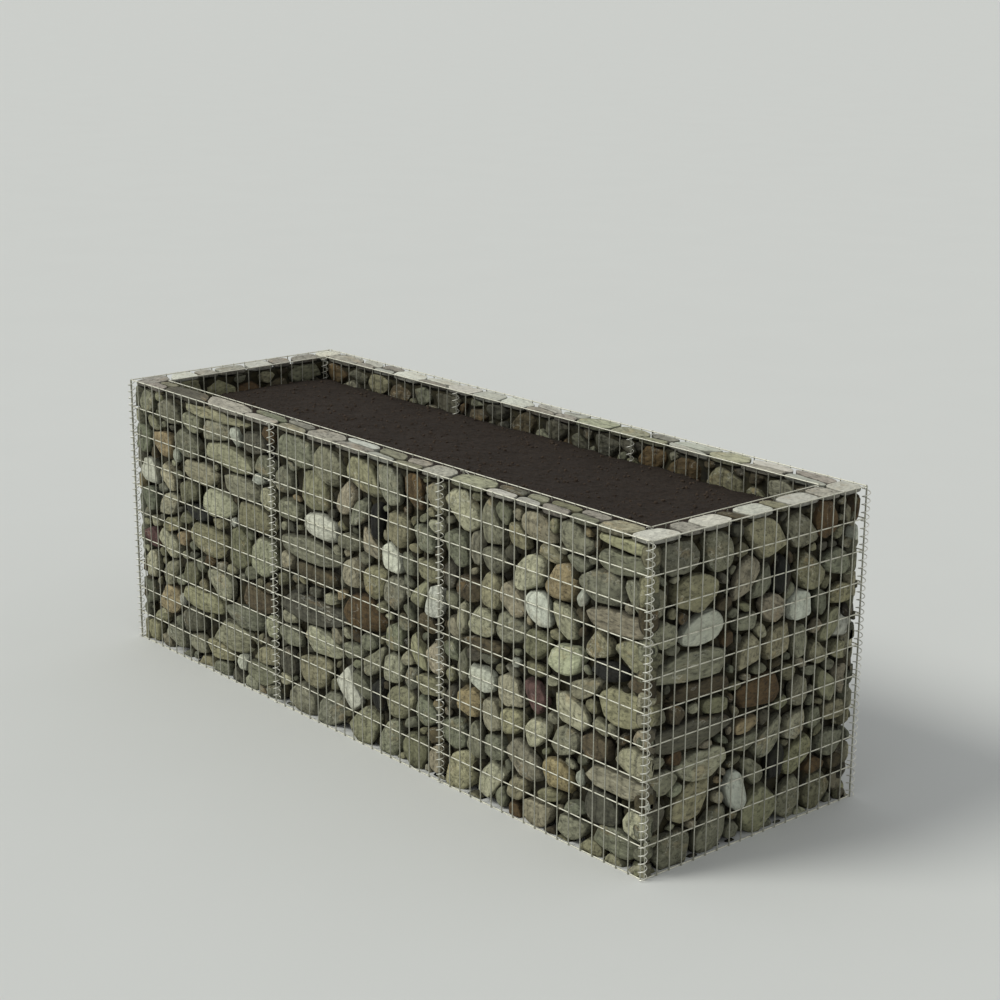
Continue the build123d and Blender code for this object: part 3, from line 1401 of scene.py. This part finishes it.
@dataclass(frozen=True)
class Boulders:
    """Fills out the outlines of laid stones into round or broken stones with a grain.

    The rings of a stone are in degrees from its front. A stone smaller than a pebble has fewer
    faces, and one smaller than a large one is set back further and its tone is darkened as painted shade.
    """

    LAYERS = (
        ("tone", "FLOAT_COLOR", "color", 4),
        ("grain", "FLOAT_VECTOR", "vector", 3),
        ("edge", "FLOAT", "value", 1),
    )

    seed: int
    fullness: tuple[float, float] = (4.6, 10.0)
    thickest: float = 40 * MM
    flattest: float = 0.62
    set_back: float = 9 * MM
    large: float = 45 * MM
    recess_shade: float = 0.4
    relief: float = 0.07
    dents: int = 7
    lean: float = 0.05
    facets: int = 12
    broken_at: tuple[float, float] = (0.74, 0.97)
    flatness: float = 0.85
    rings: tuple[float, ...] = (14, 32, 49, 65, 80, 95, 113, 138)
    pebble: float = 24 * MM

    def shapes(self, packing: Packing) -> Shapes:
        """Fill out every stone.

        Args:
            packing: The laid stones.

        Returns:
            Arrays of stones by points: place (along, up and depth behind the face), tone, grain
            and edge. And for each stone, whether it is small.
        """
        random = np.random.default_rng(self.seed)
        rows, outlines = np.array(packing.rows), packing.outlines()
        count, spokes, _ = outlines.shape
        radii = np.linalg.norm(outlines, axis=2)
        small = np.sqrt(radii.min(1) * radii.max(1))
        steps = np.radians(np.array(self.rings))
        power = 2 / random.uniform(*self.fullness, count)[:, None]
        spread = np.sin(steps)[None, :] ** power
        swell = np.sign(np.cos(steps)) * np.abs(np.cos(steps))[None, :] ** power
        thick = np.minimum(self.thickest / 2, small * self.flattest) * random.uniform(0.85, 1.0, count)
        level = outlines[:, None] * spread[:, :, None, None]
        depth = np.broadcast_to(-(thick[:, None] * swell)[:, :, None, None], (*level.shape[:3], 1))
        poles = np.zeros((count, 2, 3))
        poles[:, 0, 2], poles[:, 1, 2] = -thick, thick
        body = np.concatenate([np.concatenate([level, depth], -1).reshape(count, -1, 3), poles], 1)
        body = self._roughened(body, small, random)
        lean = random.normal(0.0, self.lean, (count, 2))
        body[:, :, 2] += body[:, :, 0] * lean[:, :1] + body[:, :, 1] * lean[:, 1:]
        size = np.clip(small / self.large, 0.0, 1.0)
        behind = self.set_back * (random.uniform(0.0, 1.0, count) * (1.4 - size) + 1.3 * (1.0 - size))
        place = body.copy()
        place[:, :, :2] += rows[:, None, :2]
        place[:, :, 2] += (behind - body[:, :, 2].min(1))[:, None]
        edge = np.minimum(np.concatenate([np.repeat(steps / (math.pi / 2), spokes), [0.0, 2.0]]), 1.0)
        # Smaller stones, set further back, get a darker tone: painted shade.
        tone = self._tones(packing.tones, random) * (1.0 - self.recess_shade * (1.0 - size))[:, None]
        tone = np.concatenate([tone, np.ones((count, 1))], 1)
        return {
            "place": place,
            "tone": np.broadcast_to(tone[:, None], (*place.shape[:2], 4)),
            "grain": self._grain(body, rows, random),
            "edge": np.broadcast_to(edge[:, None], (*place.shape[:2], 1)),
            "small": small < self.pebble,
        }

    def _roughened(self, body: Array, small: Array, random: Random) -> Array:
        """Give the stones soft dents and flat breaks.

        Args:
            body: Points of each stone about its middle.
            small: Mean radius of each stone.
            random: What all is drawn from.

        Returns:
            The moved points.
        """
        count = len(body)
        outward = body / np.maximum(np.linalg.norm(body, axis=2, keepdims=True), 1e-6)
        dent = np.zeros(body.shape[:2])
        for _ in range(self.dents):
            wave = random.normal(size=(count, 1, 3))
            length = small * random.uniform(0.25, 0.7, count)
            wave /= np.linalg.norm(wave, axis=2, keepdims=True) * length[:, None, None]
            dent += np.sin((body * wave).sum(2) + random.uniform(0, math.tau, (count, 1)))
        body = body + outward * (dent * self.relief * 0.4 * small[:, None])[:, :, None]
        for _ in range(self.facets):
            face = random.normal(size=(count, 3))
            face[:, 2] = -np.abs(face[:, 2]) * 1.1 - 0.3
            face /= np.linalg.norm(face, axis=1, keepdims=True)
            level = np.einsum("npi,ni->np", body, face)
            top = level.max(1) * random.uniform(*self.broken_at, count)
            over = np.maximum(level - top[:, None], 0.0)
            body = body - face[:, None, :] * (over * self.flatness)[:, :, None]
        return body

    @staticmethod
    def _tones(tones: Sequence[Tone], random: Random) -> Array:
        """Draw colours a little off their families'.

        Args:
            tones: Tone of each stone.
            random: What they are drawn from.

        Returns:
            Colour of each stone.
        """
        colours = np.array([tone.value for tone in tones])
        lighter = np.exp(random.normal(0.0, 0.13, (len(tones), 1)))
        tint = np.exp(random.normal(0.0, 0.016, (len(tones), 3)))
        return np.clip(colours * lighter * tint, 0.0, 0.8)

    @staticmethod
    def _grain(body: Array, rows: Array, random: Random) -> Array:
        """Turn the grain with each stone and draw it out along the bedding.

        Args:
            body: Points of each stone about its middle.
            rows: The stones' rows.
            random: What the grain's place is drawn from.

        Returns:
            Place in the grain of each point.
        """
        c, s = np.cos(rows[:, None, 4]), np.sin(rows[:, None, 4])
        slender = np.clip(rows[:, None, 3] / rows[:, None, 2] * 1.1, 0.32, 1.0)
        x = (body[:, :, 0] * c + body[:, :, 1] * s) * slender
        y = body[:, :, 1] * c - body[:, :, 0] * s
        offset = random.uniform(-20.0, 20.0, (len(rows), 1, 3))
        return np.stack([x, y, body[:, :, 2]], -1) + offset

    @staticmethod
    def _faces(rings: int, spokes: int) -> Array:
        """Join one stone's points, with the faces turned outwards.

        Args:
            rings: Its rings.
            spokes: Points of a ring.

        Returns:
            Four points of each face; a triangle ends in -1.
        """
        last, front = (rings - 1) * spokes, rings * spokes
        made = []
        for k in range(spokes):
            n = (k + 1) % spokes
            made += [(front, k, n, -1), (last + k, front + 1, last + n, -1)]
            made += [(r + k, r + spokes + k, r + spokes + n, r + n) for r in range(0, last, spokes)]
        return np.array(made)

    def mesh(self, name: str, shapes: Shapes, points: Array, finish: Material) -> Mesh:
        """Make one mesh of many stones, small ones with fewer faces.

        Args:
            name: Name of the mesh.
            shapes: What shapes() gave, for these stones only.
            points: Their points in the planter's frame.
            finish: Material of the stones.

        Returns:
            The mesh, with its attributes.
        """
        count = len(self.rings) * Packing.SPOKES
        grid = np.arange(count).reshape(len(self.rings), Packing.SPOKES)
        table = np.concatenate([points, *(shapes[layer] for layer, *_ in self.LAYERS)], -1)
        parts, faces, start = [], [], 0
        for small, kept in ((False, grid), (True, grid[1::2, ::2])):
            part = table[shapes["small"] == small][:, [*kept.ravel(), count, count + 1]]
            single = self._faces(*kept.shape)
            offset = start + np.arange(len(part))[:, None, None] * part.shape[1]
            moved = np.where(single < 0, -1, single + offset).reshape(-1, 4)
            faces += [tuple(face[:3]) if face[3] < 0 else tuple(face) for face in moved.tolist()]
            parts.append(part.reshape(-1, table.shape[-1]))
            start += len(parts[-1])
        table = np.concatenate(parts).astype(np.float32)
        mesh = bpy.data.meshes.new(name)
        mesh.from_pydata(table[:, :3].tolist(), [], faces)
        first = 3
        for layer, kind, field, width in self.LAYERS:
            values = table[:, first : first + width].ravel()
            mesh.attributes.new(layer, kind, "POINT").data.foreach_set(field, values)
            first += width
        mesh.shade_smooth()
        mesh.materials.append(finish)
        return mesh


def cleared(points: Array, axes: Sequence[Vector], radius: float) -> Array:
    """Push points out of upright cylinders.

    Args:
        points: Points in the planter's frame.
        axes: Feet of the cylinders' axes.
        radius: Their radius.

    Returns:
        The moved points.
    """
    moved = points.copy()
    for axis in axes:
        foot = np.array(axis[:2])
        away = moved[..., :2] - foot
        distance = np.maximum(np.linalg.norm(away, axis=-1, keepdims=True), 1e-6)
        moved[..., :2] = np.where(distance < radius, foot + away / distance * radius, moved[..., :2])
    return moved


@dataclass
class StoneWall:
    """The dry stone wall between the two rings of mesh."""

    PLANS = {
        "front_left_panel": FacePlan.FAR,
        "front_middle_panel": FacePlan.MIDDLE,
        "front_right_panel": FacePlan.NEAR,
        "right_end_panel": FacePlan.MIDDLE,
        "back_right_panel": FacePlan.NEAR,
        "back_middle_panel": FacePlan.FAR,
        "back_left_panel": FacePlan.MIDDLE,
        "left_end_panel": FacePlan.FAR,
    }
    END_GRADES = (Grade(0.03, 0.045, (0.6, 0.9), 16, 160),)
    FACE_GRADES = (
        Grade(0.05, 0.066, (0.45, 0.7), 14, 160),
        Grade(0.036, 0.048, (0.45, 0.8), 20, 400),
        Grade(0.025, 0.034, (0.45, 0.85), 30, 900),
        Grade(0.018, 0.024, (0.5, 0.9), 40, 700),
    )
    LINING_GRADES = (
        Grade(0.055, 0.085, (0.4, 0.6), 6, 120),
        Grade(0.035, 0.05, (0.5, 0.8), 16, 260),
        Grade(0.02, 0.028, (0.6, 0.9), 30, 200),
    )
    PALE_TONES = {CHALK: 6, ROSE: 4, PALE: 1}
    # Lining stones draw mostly dark tones: painted shade on the inside of the wall.
    SHADED_LINING_TONES = {DARK: 4, BROWN: 4, OLIVE: 2, GREY: 3, BEIGE: 1, RUST: 1}

    finish: Material
    rubble: Material
    coils: list[Vector]
    coil_room: float = 15.6 * MM
    coil_reach: float = 150 * MM
    course: float = 17 * MM
    overhang: float = 12 * MM
    sunk: float = 22 * MM
    bond: float = 20 * MM
    play: float = 1 * MM
    rim_gap: float = 12 * MM
    rim_rise: float = 3.5 * MM
    end_column: float = 36 * MM
    corner_stone: float = 56 * MM
    corner_rises: tuple[float, float] = (50 * MM, 105 * MM)
    lining_foot: float = 45 * MM
    lining_play: float = 4 * MM

    def __post_init__(self) -> None:
        """Read the wall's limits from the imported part."""
        front_low, front_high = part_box("front_stone_fill")
        right_low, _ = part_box("right_stone_fill")
        self.outer_x, self.outer_y = front_high.x, -front_low.y
        self.inner_x, self.inner_y = right_low.x, -front_high.y
        self.top = front_high.z
        self.high = self.top - self.course
        self.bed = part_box("planting_soil")[1].z

    def _piece(
        self, name: str, boulders: Boulders, laid: list[tuple[Shapes, Array]], room: float, *nodes: str
    ) -> None:
        """Join laid stones in one piece, clear of the coils.

        Args:
            name: Name of the piece.
            boulders: What filled them out.
            laid: The stones of each strip, and their points in the planter's frame.
            room: Distance to keep from each coil's axis.
            nodes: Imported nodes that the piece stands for.
        """
        shapes = {key: np.concatenate([part[key] for part, _ in laid]) for key in laid[0][0]}
        points = cleared(np.concatenate([points for _, points in laid]), self.coils, room)
        mounted(name, boulders.mesh(name, shapes, points, self.finish), "field_stone", *nodes)

    def facing(self) -> None:
        """Lay the outside of the wall, one piece for each side.

        The front and the back run to the corners, and the ends start behind their stones.
        """
        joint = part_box("front_middle_panel")[1].x
        for number, side in enumerate(Side):
            half, outer, seams = self.outer_y - self.bond, self.outer_x, ()
            if side.long:
                half, outer = self.outer_x + self.overhang, self.outer_y
                seams = (half - joint, half + joint)
            strip = Strip(2 * half, -self.sunk, self.high, seams)
            packing = Packing(strip, seed=11 + number, growth=(1.3, 2.1))
            for node, plan in self.PLANS.items():
                if Side.of(node) is side:
                    packing.lay(plan, half + self._left_edge(node, side), mirrored=side is Side.BACK)
            packing.fill(self.END_GRADES, places=(self.end_column, 2 * half - self.end_column))
            packing.fill(self.FACE_GRADES)
            boulders = Boulders(seed=23 + number)
            shapes = boulders.shapes(packing)
            along, up, depth = np.moveaxis(shapes["place"], -1, 0)
            run = np.clip(along - half, -self.outer_x, self.outer_x)
            points = self._turned(run, np.maximum(depth, 0.0) - outer, np.maximum(up, self.play), side)
            word = side.name.lower()
            self._piece(
                f"{word}_stone_facing", boulders, [(shapes, points)], self.coil_room, f"{word}_stone_fill"
            )
            LOG.info("%d facing stones", len(packing.rows))

    def corners(self) -> None:
        """Stack a column of stones behind each corner coil, where two sides meet."""
        boulders = Boulders(seed=83, thickest=46 * MM, flattest=0.9, set_back=2 * MM)
        half, limits = self.corner_stone / 2, np.array([self.outer_x, self.outer_y])
        feet = [np.array(foot[:2]) for foot in self.coils]
        laid = []
        for number, foot in enumerate(foot for foot in feet if (np.abs(foot) > limits).all()):
            strip = Strip(self.corner_stone, -self.sunk, self.high)
            packing = Packing(strip, seed=91 + number, growth=(1.3, 1.3))
            low = -self.sunk
            while low < self.high:
                rise, left = packing.random.uniform(*self.corner_rises), self.high - low
                rise = left if left < rise + self.corner_rises[0] else rise
                packing.stack(half, low + rise / 2, half, rise / 2)
                low += rise
            shapes = boulders.shapes(packing)
            place = shapes["place"]
            inward = -np.sign(foot) / math.sqrt(2)
            across = np.array([inward[1], -inward[0]])
            depth = np.maximum(place[..., 2:], 0.0) + self.coil_room + self.play
            level = np.clip(foot + depth * inward + (place[..., :1] - half) * across, -limits, limits)
            laid.append((shapes, np.concatenate([level, np.maximum(place[..., 1:2], self.play)], -1)))
        self._piece("corner_stones", boulders, laid, self.coil_room)

    @staticmethod
    def _left_edge(node: str, side: Side) -> float:
        """Place of a panel's left edge, seen from outside, from the middle of its side."""
        low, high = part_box(node)
        return {Side.FRONT: low.x, Side.RIGHT: low.y, Side.BACK: -high.x, Side.LEFT: -high.y}[side]

    def _bars(self) -> list[tuple[Side, float, float, float]]:
        """Share the rim out among the sides as straight bars.

        Returns:
            Side, half run, outer distance and inner distance of each bar.
        """
        long = (self.inner_x - self.play, self.outer_y, self.inner_y)
        end = (self.outer_y - 2 * self.play, self.outer_x, self.inner_x)
        return [(side, *(long if side.long else end)) for side in Side]

    @staticmethod
    def _turned(x: Array, y: Array, z: Array, side: Side) -> Array:
        """Turn places along, inwards and upwards from the front to a side."""
        c, s = math.cos(side.turn), math.sin(side.turn)
        return np.stack([x * c - y * s, x * s + y * c, z], -1)

    def _posts(self, side: Side, half_run: float, outer: float) -> tuple[Triple, ...]:
        """Find the coils in a side's own strip, seen from above.

        Args:
            side: The side.
            half_run: Half the strip's length.
            outer: Distance of its outer edge from the planter's middle.

        Returns:
            Place along, place inwards and room of each coil.
        """
        x, y, z = np.array([list(foot) for foot in self.coils]).T
        feet = self._turned(x, y, z, Side((360 - side.value) % 360))
        near = [(x, y) for x, y, _ in feet if abs(y + outer) < self.coil_reach]
        return tuple((x + half_run, y + outer, self.coil_room) for x, y in near)

    def rim(self) -> None:
        """Lay the flat stones along the top of the wall."""
        boulders = Boulders(
            seed=31,
            fullness=(9.0, 16.0),
            thickest=15 * MM,
            flattest=0.6,
            set_back=0.8 * MM,
            relief=0.012,
            lean=0.01,
            facets=0,
        )
        top = self.top + self.rim_rise
        laid = []
        for number, (side, half_run, outer, inner) in enumerate(self._bars()):
            posts = self._posts(side, half_run, outer)
            strip = Strip(2 * half_run, self.play, outer - inner - self.play, posts=posts)
            packing = Packing(
                strip, seed=41 + number, growth=(1.2, 1.2), gap=self.rim_gap, breaks=1, squareness=(2.6, 4.6)
            )
            room = 2 * half_run / CM
            if side is Side.FRONT:
                packing.course(RimPlan.FRONT.value, -4.0)
            elif side is Side.RIGHT:
                packing.course(RimPlan.RIGHT_END.value, 9.0)
            elif side is Side.BACK:
                packing.course(packing.draw_slabs(room, (11, 20), 0.4, self.PALE_TONES), -4.0)
            else:
                packing.course(packing.draw_slabs(room, (8, 14), 0.0, self.PALE_TONES), 15.0)
            shapes = boulders.shapes(packing)
            along, across, depth = np.moveaxis(shapes["place"], -1, 0)
            y, z = np.clip(across - outer, -outer, -inner), np.minimum(top - depth, top)
            laid.append((shapes, self._turned(along - half_run, y, z, side)))
        self._piece("rim_stones", boulders, laid, self.coil_room - self.play)

    def lining(self) -> None:
        """Lay the stones that show over the soil, inside the inner mesh."""
        boulders = Boulders(seed=53, thickest=34 * MM, set_back=6 * MM)
        laid = []
        for number, (side, _, _, inner) in enumerate(self._bars()):
            half_run = (self.inner_x if side.long else self.inner_y) - self.lining_play
            strip = Strip(2 * half_run, self.bed - self.lining_foot, self.high)
            packing = Packing(strip, seed=61 + number, growth=(1.5, 2.2))
            packing.fill(self.LINING_GRADES, self.SHADED_LINING_TONES)
            shapes = boulders.shapes(packing)
            along, up, depth = np.moveaxis(shapes["place"], -1, 0)
            laid.append((shapes, self._turned(half_run - along, -inner - depth - self.play, up, side)))
        self._piece("lining_stones", boulders, laid, self.coil_room)

    def hearting(self) -> None:
        """Pack the heart of the wall: a rough core with small stones half sunk in its outside."""
        sizes = {"Density": 230.0, "Smallest": 15 * MM, "Largest": 29 * MM, "Roughness": 1.4 * MM}
        made = Builder("hearting", sizes)
        core = made.wander(made.inputs["Base"], waves=21.0, reach=made.size("Roughness") * 5.0)
        shown = made.value("GeometryNodeInputNamedAttribute", {"data_type": "FLOAT"}, {"Name": "shown"})
        pebbles = made.pebbles(core, (1.0, 0.78, 0.62), made.size("Density") * shown, seed=5)
        pebbles = made.wander(pebbles, waves=40.0, reach=made.size("Roughness"))
        made.end(made.join(core, pebbles))
        # The rubble finish paints the core and its pebbles almost black: painted shade behind the gaps.
        mesh = made.grow("wall_hearting", sizes, self.rubble, self._core())
        mounted("wall_hearting", mesh, "field_stone")

    def _core(self) -> Mesh:
        """Build a closed ring inside the wall, in steps of a small stone's size.

        Under the rim stones it widens to a flat bed, and its outside stands a little further out
        at the corners.

        Returns:
            The ring, with the attribute shown on the faces behind the facing.
        """
        step, corner, outside, inside = 29 * MM, 34 * MM, 40 * MM, 68 * MM
        low, high, bed = 22 * MM, self.high - 34 * MM, self.top - 21 * MM
        levels = np.linspace(low, high, round((high - low) / step) + 1)
        section = [(outside, z) for z in levels]
        section += [(d * MM, bed) for d in (15, 32, 49, 66, 80)]
        section += [(inside, z) for z in levels[::-1]]
        signs = np.array([(-1, -1), (1, -1), (1, 1), (-1, 1)])
        rings = []
        for a, half in enumerate([self.outer_x, self.outer_y] * 2):
            steps = round(2 * half / step)
            for k in range(steps):
                x, y = signs[a] * (1 - k / steps) + signs[(a + 1) % 4] * (k / steps)
                depths = [(corner if d == outside and not k else d, z) for d, z in section]
                rings += [(x * (self.outer_x - d), y * (self.outer_y - d), z) for d, z in depths]
        each, faces, shown = len(section), [], []
        for here in range(0, len(rings), each):
            there = (here + each) % len(rings)
            for k in range(each):
                q = (k + 1) % each
                faces.append((here + k, there + k, there + q, here + q))
                shown.append(float(k < len(levels) - 1))
        mesh = bpy.data.meshes.new("wall_core")
        mesh.from_pydata(rings, [], faces)
        mesh.attributes.new("shown", "FLOAT", "FACE").data.foreach_set("value", shown)
        return mesh


@dataclass
class PlantingBed:
    """The soil inside the inner mesh, raked and crumbly."""

    finish: Material
    crumbs: Material
    step: float = 11 * MM
    mound: float = 9 * MM
    crumb: float = 2.6 * MM
    sunken_edge: float = 9 * MM
    edge_width: float = 40 * MM
    off_ground: float = 2 * MM

    def __post_init__(self) -> None:
        """Read the bed's box."""
        self.low, self.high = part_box("planting_soil")

    def _grid(self) -> tuple[Array, Array]:
        """Lay a grid over the bed's top.

        Returns:
            Its points, and their numbers row by row.
        """
        nx = round((self.high.x - self.low.x) / self.step)
        ny = round((self.high.y - self.low.y) / self.step)
        xs, ys = np.linspace(self.low.x, self.high.x, nx + 1), np.linspace(self.low.y, self.high.y, ny + 1)
        x, y = np.meshgrid(xs, ys, indexing="ij")
        top = np.stack([x, y, self._relief(x, y)], -1).reshape(-1, 3)
        return top, np.arange(len(top)).reshape(nx + 1, ny + 1)

    @staticmethod
    def _quads(index: Array) -> list[list[int]]:
        """Faces between the points of a grid."""
        corners = [index[:-1, :-1], index[1:, :-1], index[1:, 1:], index[:-1, 1:]]
        return np.stack(corners, -1).reshape(-1, 4).tolist()

    def _relief(self, x: Array, y: Array) -> Array:
        """Draw soft mounds, crumbs and a sunken edge along the mesh.

        Args:
            x: Places along the bed.
            y: Places across it.

        Returns:
            Heights of the soil.
        """
        random = np.random.default_rng(71)
        height = np.full(x.shape, self.high.z)
        layers = ((0.5, self.mound, 6), (0.12, self.mound * 0.5, 10), (0.035, self.crumb, 16))
        for length, reach, count in layers:
            for _ in range(count):
                turn, phase = random.uniform(0, math.tau, 2)
                waves = math.tau / (length * random.uniform(0.7, 1.4))
                wave = np.sin((x * math.cos(turn) + y * math.sin(turn)) * waves + phase)
                height += reach * 0.4 * wave / math.sqrt(count)
        height += random.normal(0.0, self.crumb * 0.35, x.shape)
        border = np.minimum(self.high.x - np.abs(x), self.high.y - np.abs(y))
        return height - self.sunken_edge * np.exp(-border / self.edge_width)

    def soil(self) -> None:
        """Model the bed as one closed block with an uneven top."""
        top, index = self._grid()
        rim = np.concatenate([index[:-1, 0], index[-1, :-1], index[:0:-1, -1], index[0, :0:-1]])
        floor = self.low.z + self.off_ground
        foot = top[rim].copy()
        foot[:, 2] = floor
        below = len(top) + np.arange(len(rim))
        after = np.roll(below, -1)
        middle = len(top) + len(rim)
        faces = self._quads(index) + np.stack([rim, below, after, np.roll(rim, -1)], 1).tolist()
        faces += [(middle, b, a) for a, b in zip(below.tolist(), after.tolist())]
        mesh = bpy.data.meshes.new("planting_soil_bed")
        mesh.from_pydata(np.concatenate([top, foot, [[0.0, 0.0, floor]]]).tolist(), [], faces)
        mesh.shade_smooth()
        mesh.materials.append(self.finish)
        mounted("planting_soil_bed", mesh, "soil", "planting_soil")

    def clods(self) -> None:
        """Scatter crumbs and clods over the bed."""
        sizes = {"Density": 760.0, "Smallest": 2 * MM, "Largest": 8 * MM, "Roughness": 0.25 * MM}
        made = Builder("clods", sizes)
        clods = made.pebbles(made.inputs["Base"], (1.0, 0.85, 0.7), made.size("Density"), seed=9, rarity=2.0)
        made.end(made.wander(clods, waves=90.0, reach=made.size("Roughness")))
        top, index = self._grid()
        base = bpy.data.meshes.new("clod_places")
        base.from_pydata(top.tolist(), [], self._quads(index))
        mounted("soil_clods", made.grow("soil_clods", sizes, self.crumbs, base), "soil")


@dataclass(frozen=True)
class Studio:
    """Floor, soft light and a camera where the photographer stood."""

    SEEING = ("Camera", "Glossy", "Transmission")
    stand: Triple = (4.9698, -4.1114, 2.5313)
    azimuth: float = 49.193
    elevation: float = 15.439
    roll: float = 0.308
    focal_pixels: float = 1981.1
    image_width: float = 1000.0
    film: float = 36.0
    sky: float = 0.49
    sky_colour: Colour = (0.945, 0.985, 1.0)
    backdrop: Colour = (0.8, 0.8, 0.79)
    backdrop_strength: float = 0.85
    key_strength: float = 1.68
    key_softness: float = 24.0
    key_colour: Colour = (0.985, 1.0, 0.945)
    key_from: Triple = (-0.36, -0.62, 0.7)
    floor_reach: float = 400.0

    def camera(self) -> None:
        """Place the camera."""
        turn, tilt, roll = (math.radians(a) for a in (self.azimuth, self.elevation, self.roll))
        back = Vector((math.sin(turn) * math.cos(tilt), -math.cos(turn) * math.cos(tilt), math.sin(tilt)))
        right = Vector((math.cos(turn), math.sin(turn), 0.0))
        above = back.cross(right)
        across = math.cos(roll) * right + math.sin(roll) * above
        above = math.cos(roll) * above - math.sin(roll) * right
        data = bpy.data.cameras.new("camera")
        data.sensor_width = self.film
        data.lens = self.focal_pixels / self.image_width * self.film
        camera = bpy.data.objects.new("camera", data)
        turned = Matrix((across, above, back)).transposed().to_4x4()
        camera.matrix_world = Matrix.Translation(Vector(self.stand)) @ turned
        bpy.context.scene.collection.objects.link(camera)
        bpy.context.scene.camera = camera

    def lights(self) -> None:
        """Light the front from above with a wide soft lamp far away, and the rest from the sky."""
        lamp = bpy.data.lights.new("key", "SUN")
        lamp.energy = self.key_strength
        lamp.angle = math.radians(self.key_softness)
        lamp.color = self.key_colour
        key = bpy.data.objects.new("key", lamp)
        key.rotation_mode = "QUATERNION"
        key.rotation_quaternion = Vector(self.key_from).to_track_quat("Z", "Y")
        bpy.context.scene.collection.objects.link(key)
        world = bpy.data.worlds.new("studio")
        bpy.context.scene.world = world
        world.use_nodes = True
        tree = Tree(world.node_tree)
        rays = tree.node("ShaderNodeLightPath").outputs
        camera, glossy, through = (Value(tree, rays[f"Is {kind} Ray"]) for kind in self.SEEING)
        light = self._backdrop(tree, self.sky_colour, self.sky)
        shown = self._backdrop(tree, self.backdrop, self.backdrop_strength)
        mixed = tree.node("ShaderNodeMixShader", inputs={0: camera + glossy + through, 1: light, 2: shown})
        out = next(n for n in world.node_tree.nodes if n.type == "OUTPUT_WORLD")
        tree.connect(mixed.outputs[0], out.inputs["Surface"])

    @staticmethod
    def _backdrop(tree: Tree, colour: Colour, strength: float) -> Socket:
        """One plain background of the world."""
        inputs = {"Color": (*colour, 1.0), "Strength": strength}
        return tree.node("ShaderNodeBackground", inputs=inputs).outputs[0]

    def floor(self, finish: Material) -> None:
        """Lay the floor.

        Args:
            finish: Its material.
        """
        reach = self.floor_reach
        mesh = bpy.data.meshes.new("studio_floor")
        corners = [(-reach, -reach, 0), (reach, -reach, 0), (reach, reach, 0), (-reach, reach, 0)]
        mesh.from_pydata(corners, [], [(0, 1, 2, 3)])
        mesh.materials.append(finish)
        floor = bpy.data.objects.new("studio_floor", mesh)
        bpy.context.scene.collection.objects.link(floor)


def main() -> None:
    """Build the planter piece by piece and set the studio round it."""
    logging.basicConfig(level=logging.INFO, format="%(name)s: %(message)s")
    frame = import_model()
    nodes = sorted(frame["nodes"])
    panels = [node for node in nodes if node.endswith("_panel")]
    spirals = [node for node in nodes if node.endswith("_spiral")]

    sheet = WeldedMesh()
    sheet.pieces(panels, ZincFinish("mesh_wire").material())
    coil = BinderCoil()
    pitch = sheet.cell_height / coil.turns_per_cell
    newer = ZincFinish("spiral_wire", bright=(0.74, 0.73, 0.66), dull=(0.42, 0.42, 0.37), roughness=0.34)
    coil.pieces(spirals, pitch, newer.material())

    axes = [coil.axis(node) for node in spirals]
    wall = StoneWall(StoneFinish().material(), RubbleFinish().material(), axes)
    wall.facing()
    wall.corners()
    wall.rim()
    wall.lining()
    wall.hearting()

    # The crumbs take a paler copy of the soil's finish: painted light, so that the clods' shaded sides don't
    # read as dark specks.
    crumbs = SoilFinish("soil_crumbs", wet=(0.03, 0.021, 0.015), dry=(0.075, 0.052, 0.036), relief=1.5 * MM)
    bed = PlantingBed(SoilFinish().material(), crumbs.material())
    bed.soil()
    bed.clods()

    studio = Studio()
    studio.camera()
    studio.lights()
    studio.floor(FloorFinish().material())
    bpy.context.scene.view_settings.view_transform = "Standard"


if __name__ == "__main__":
    main()
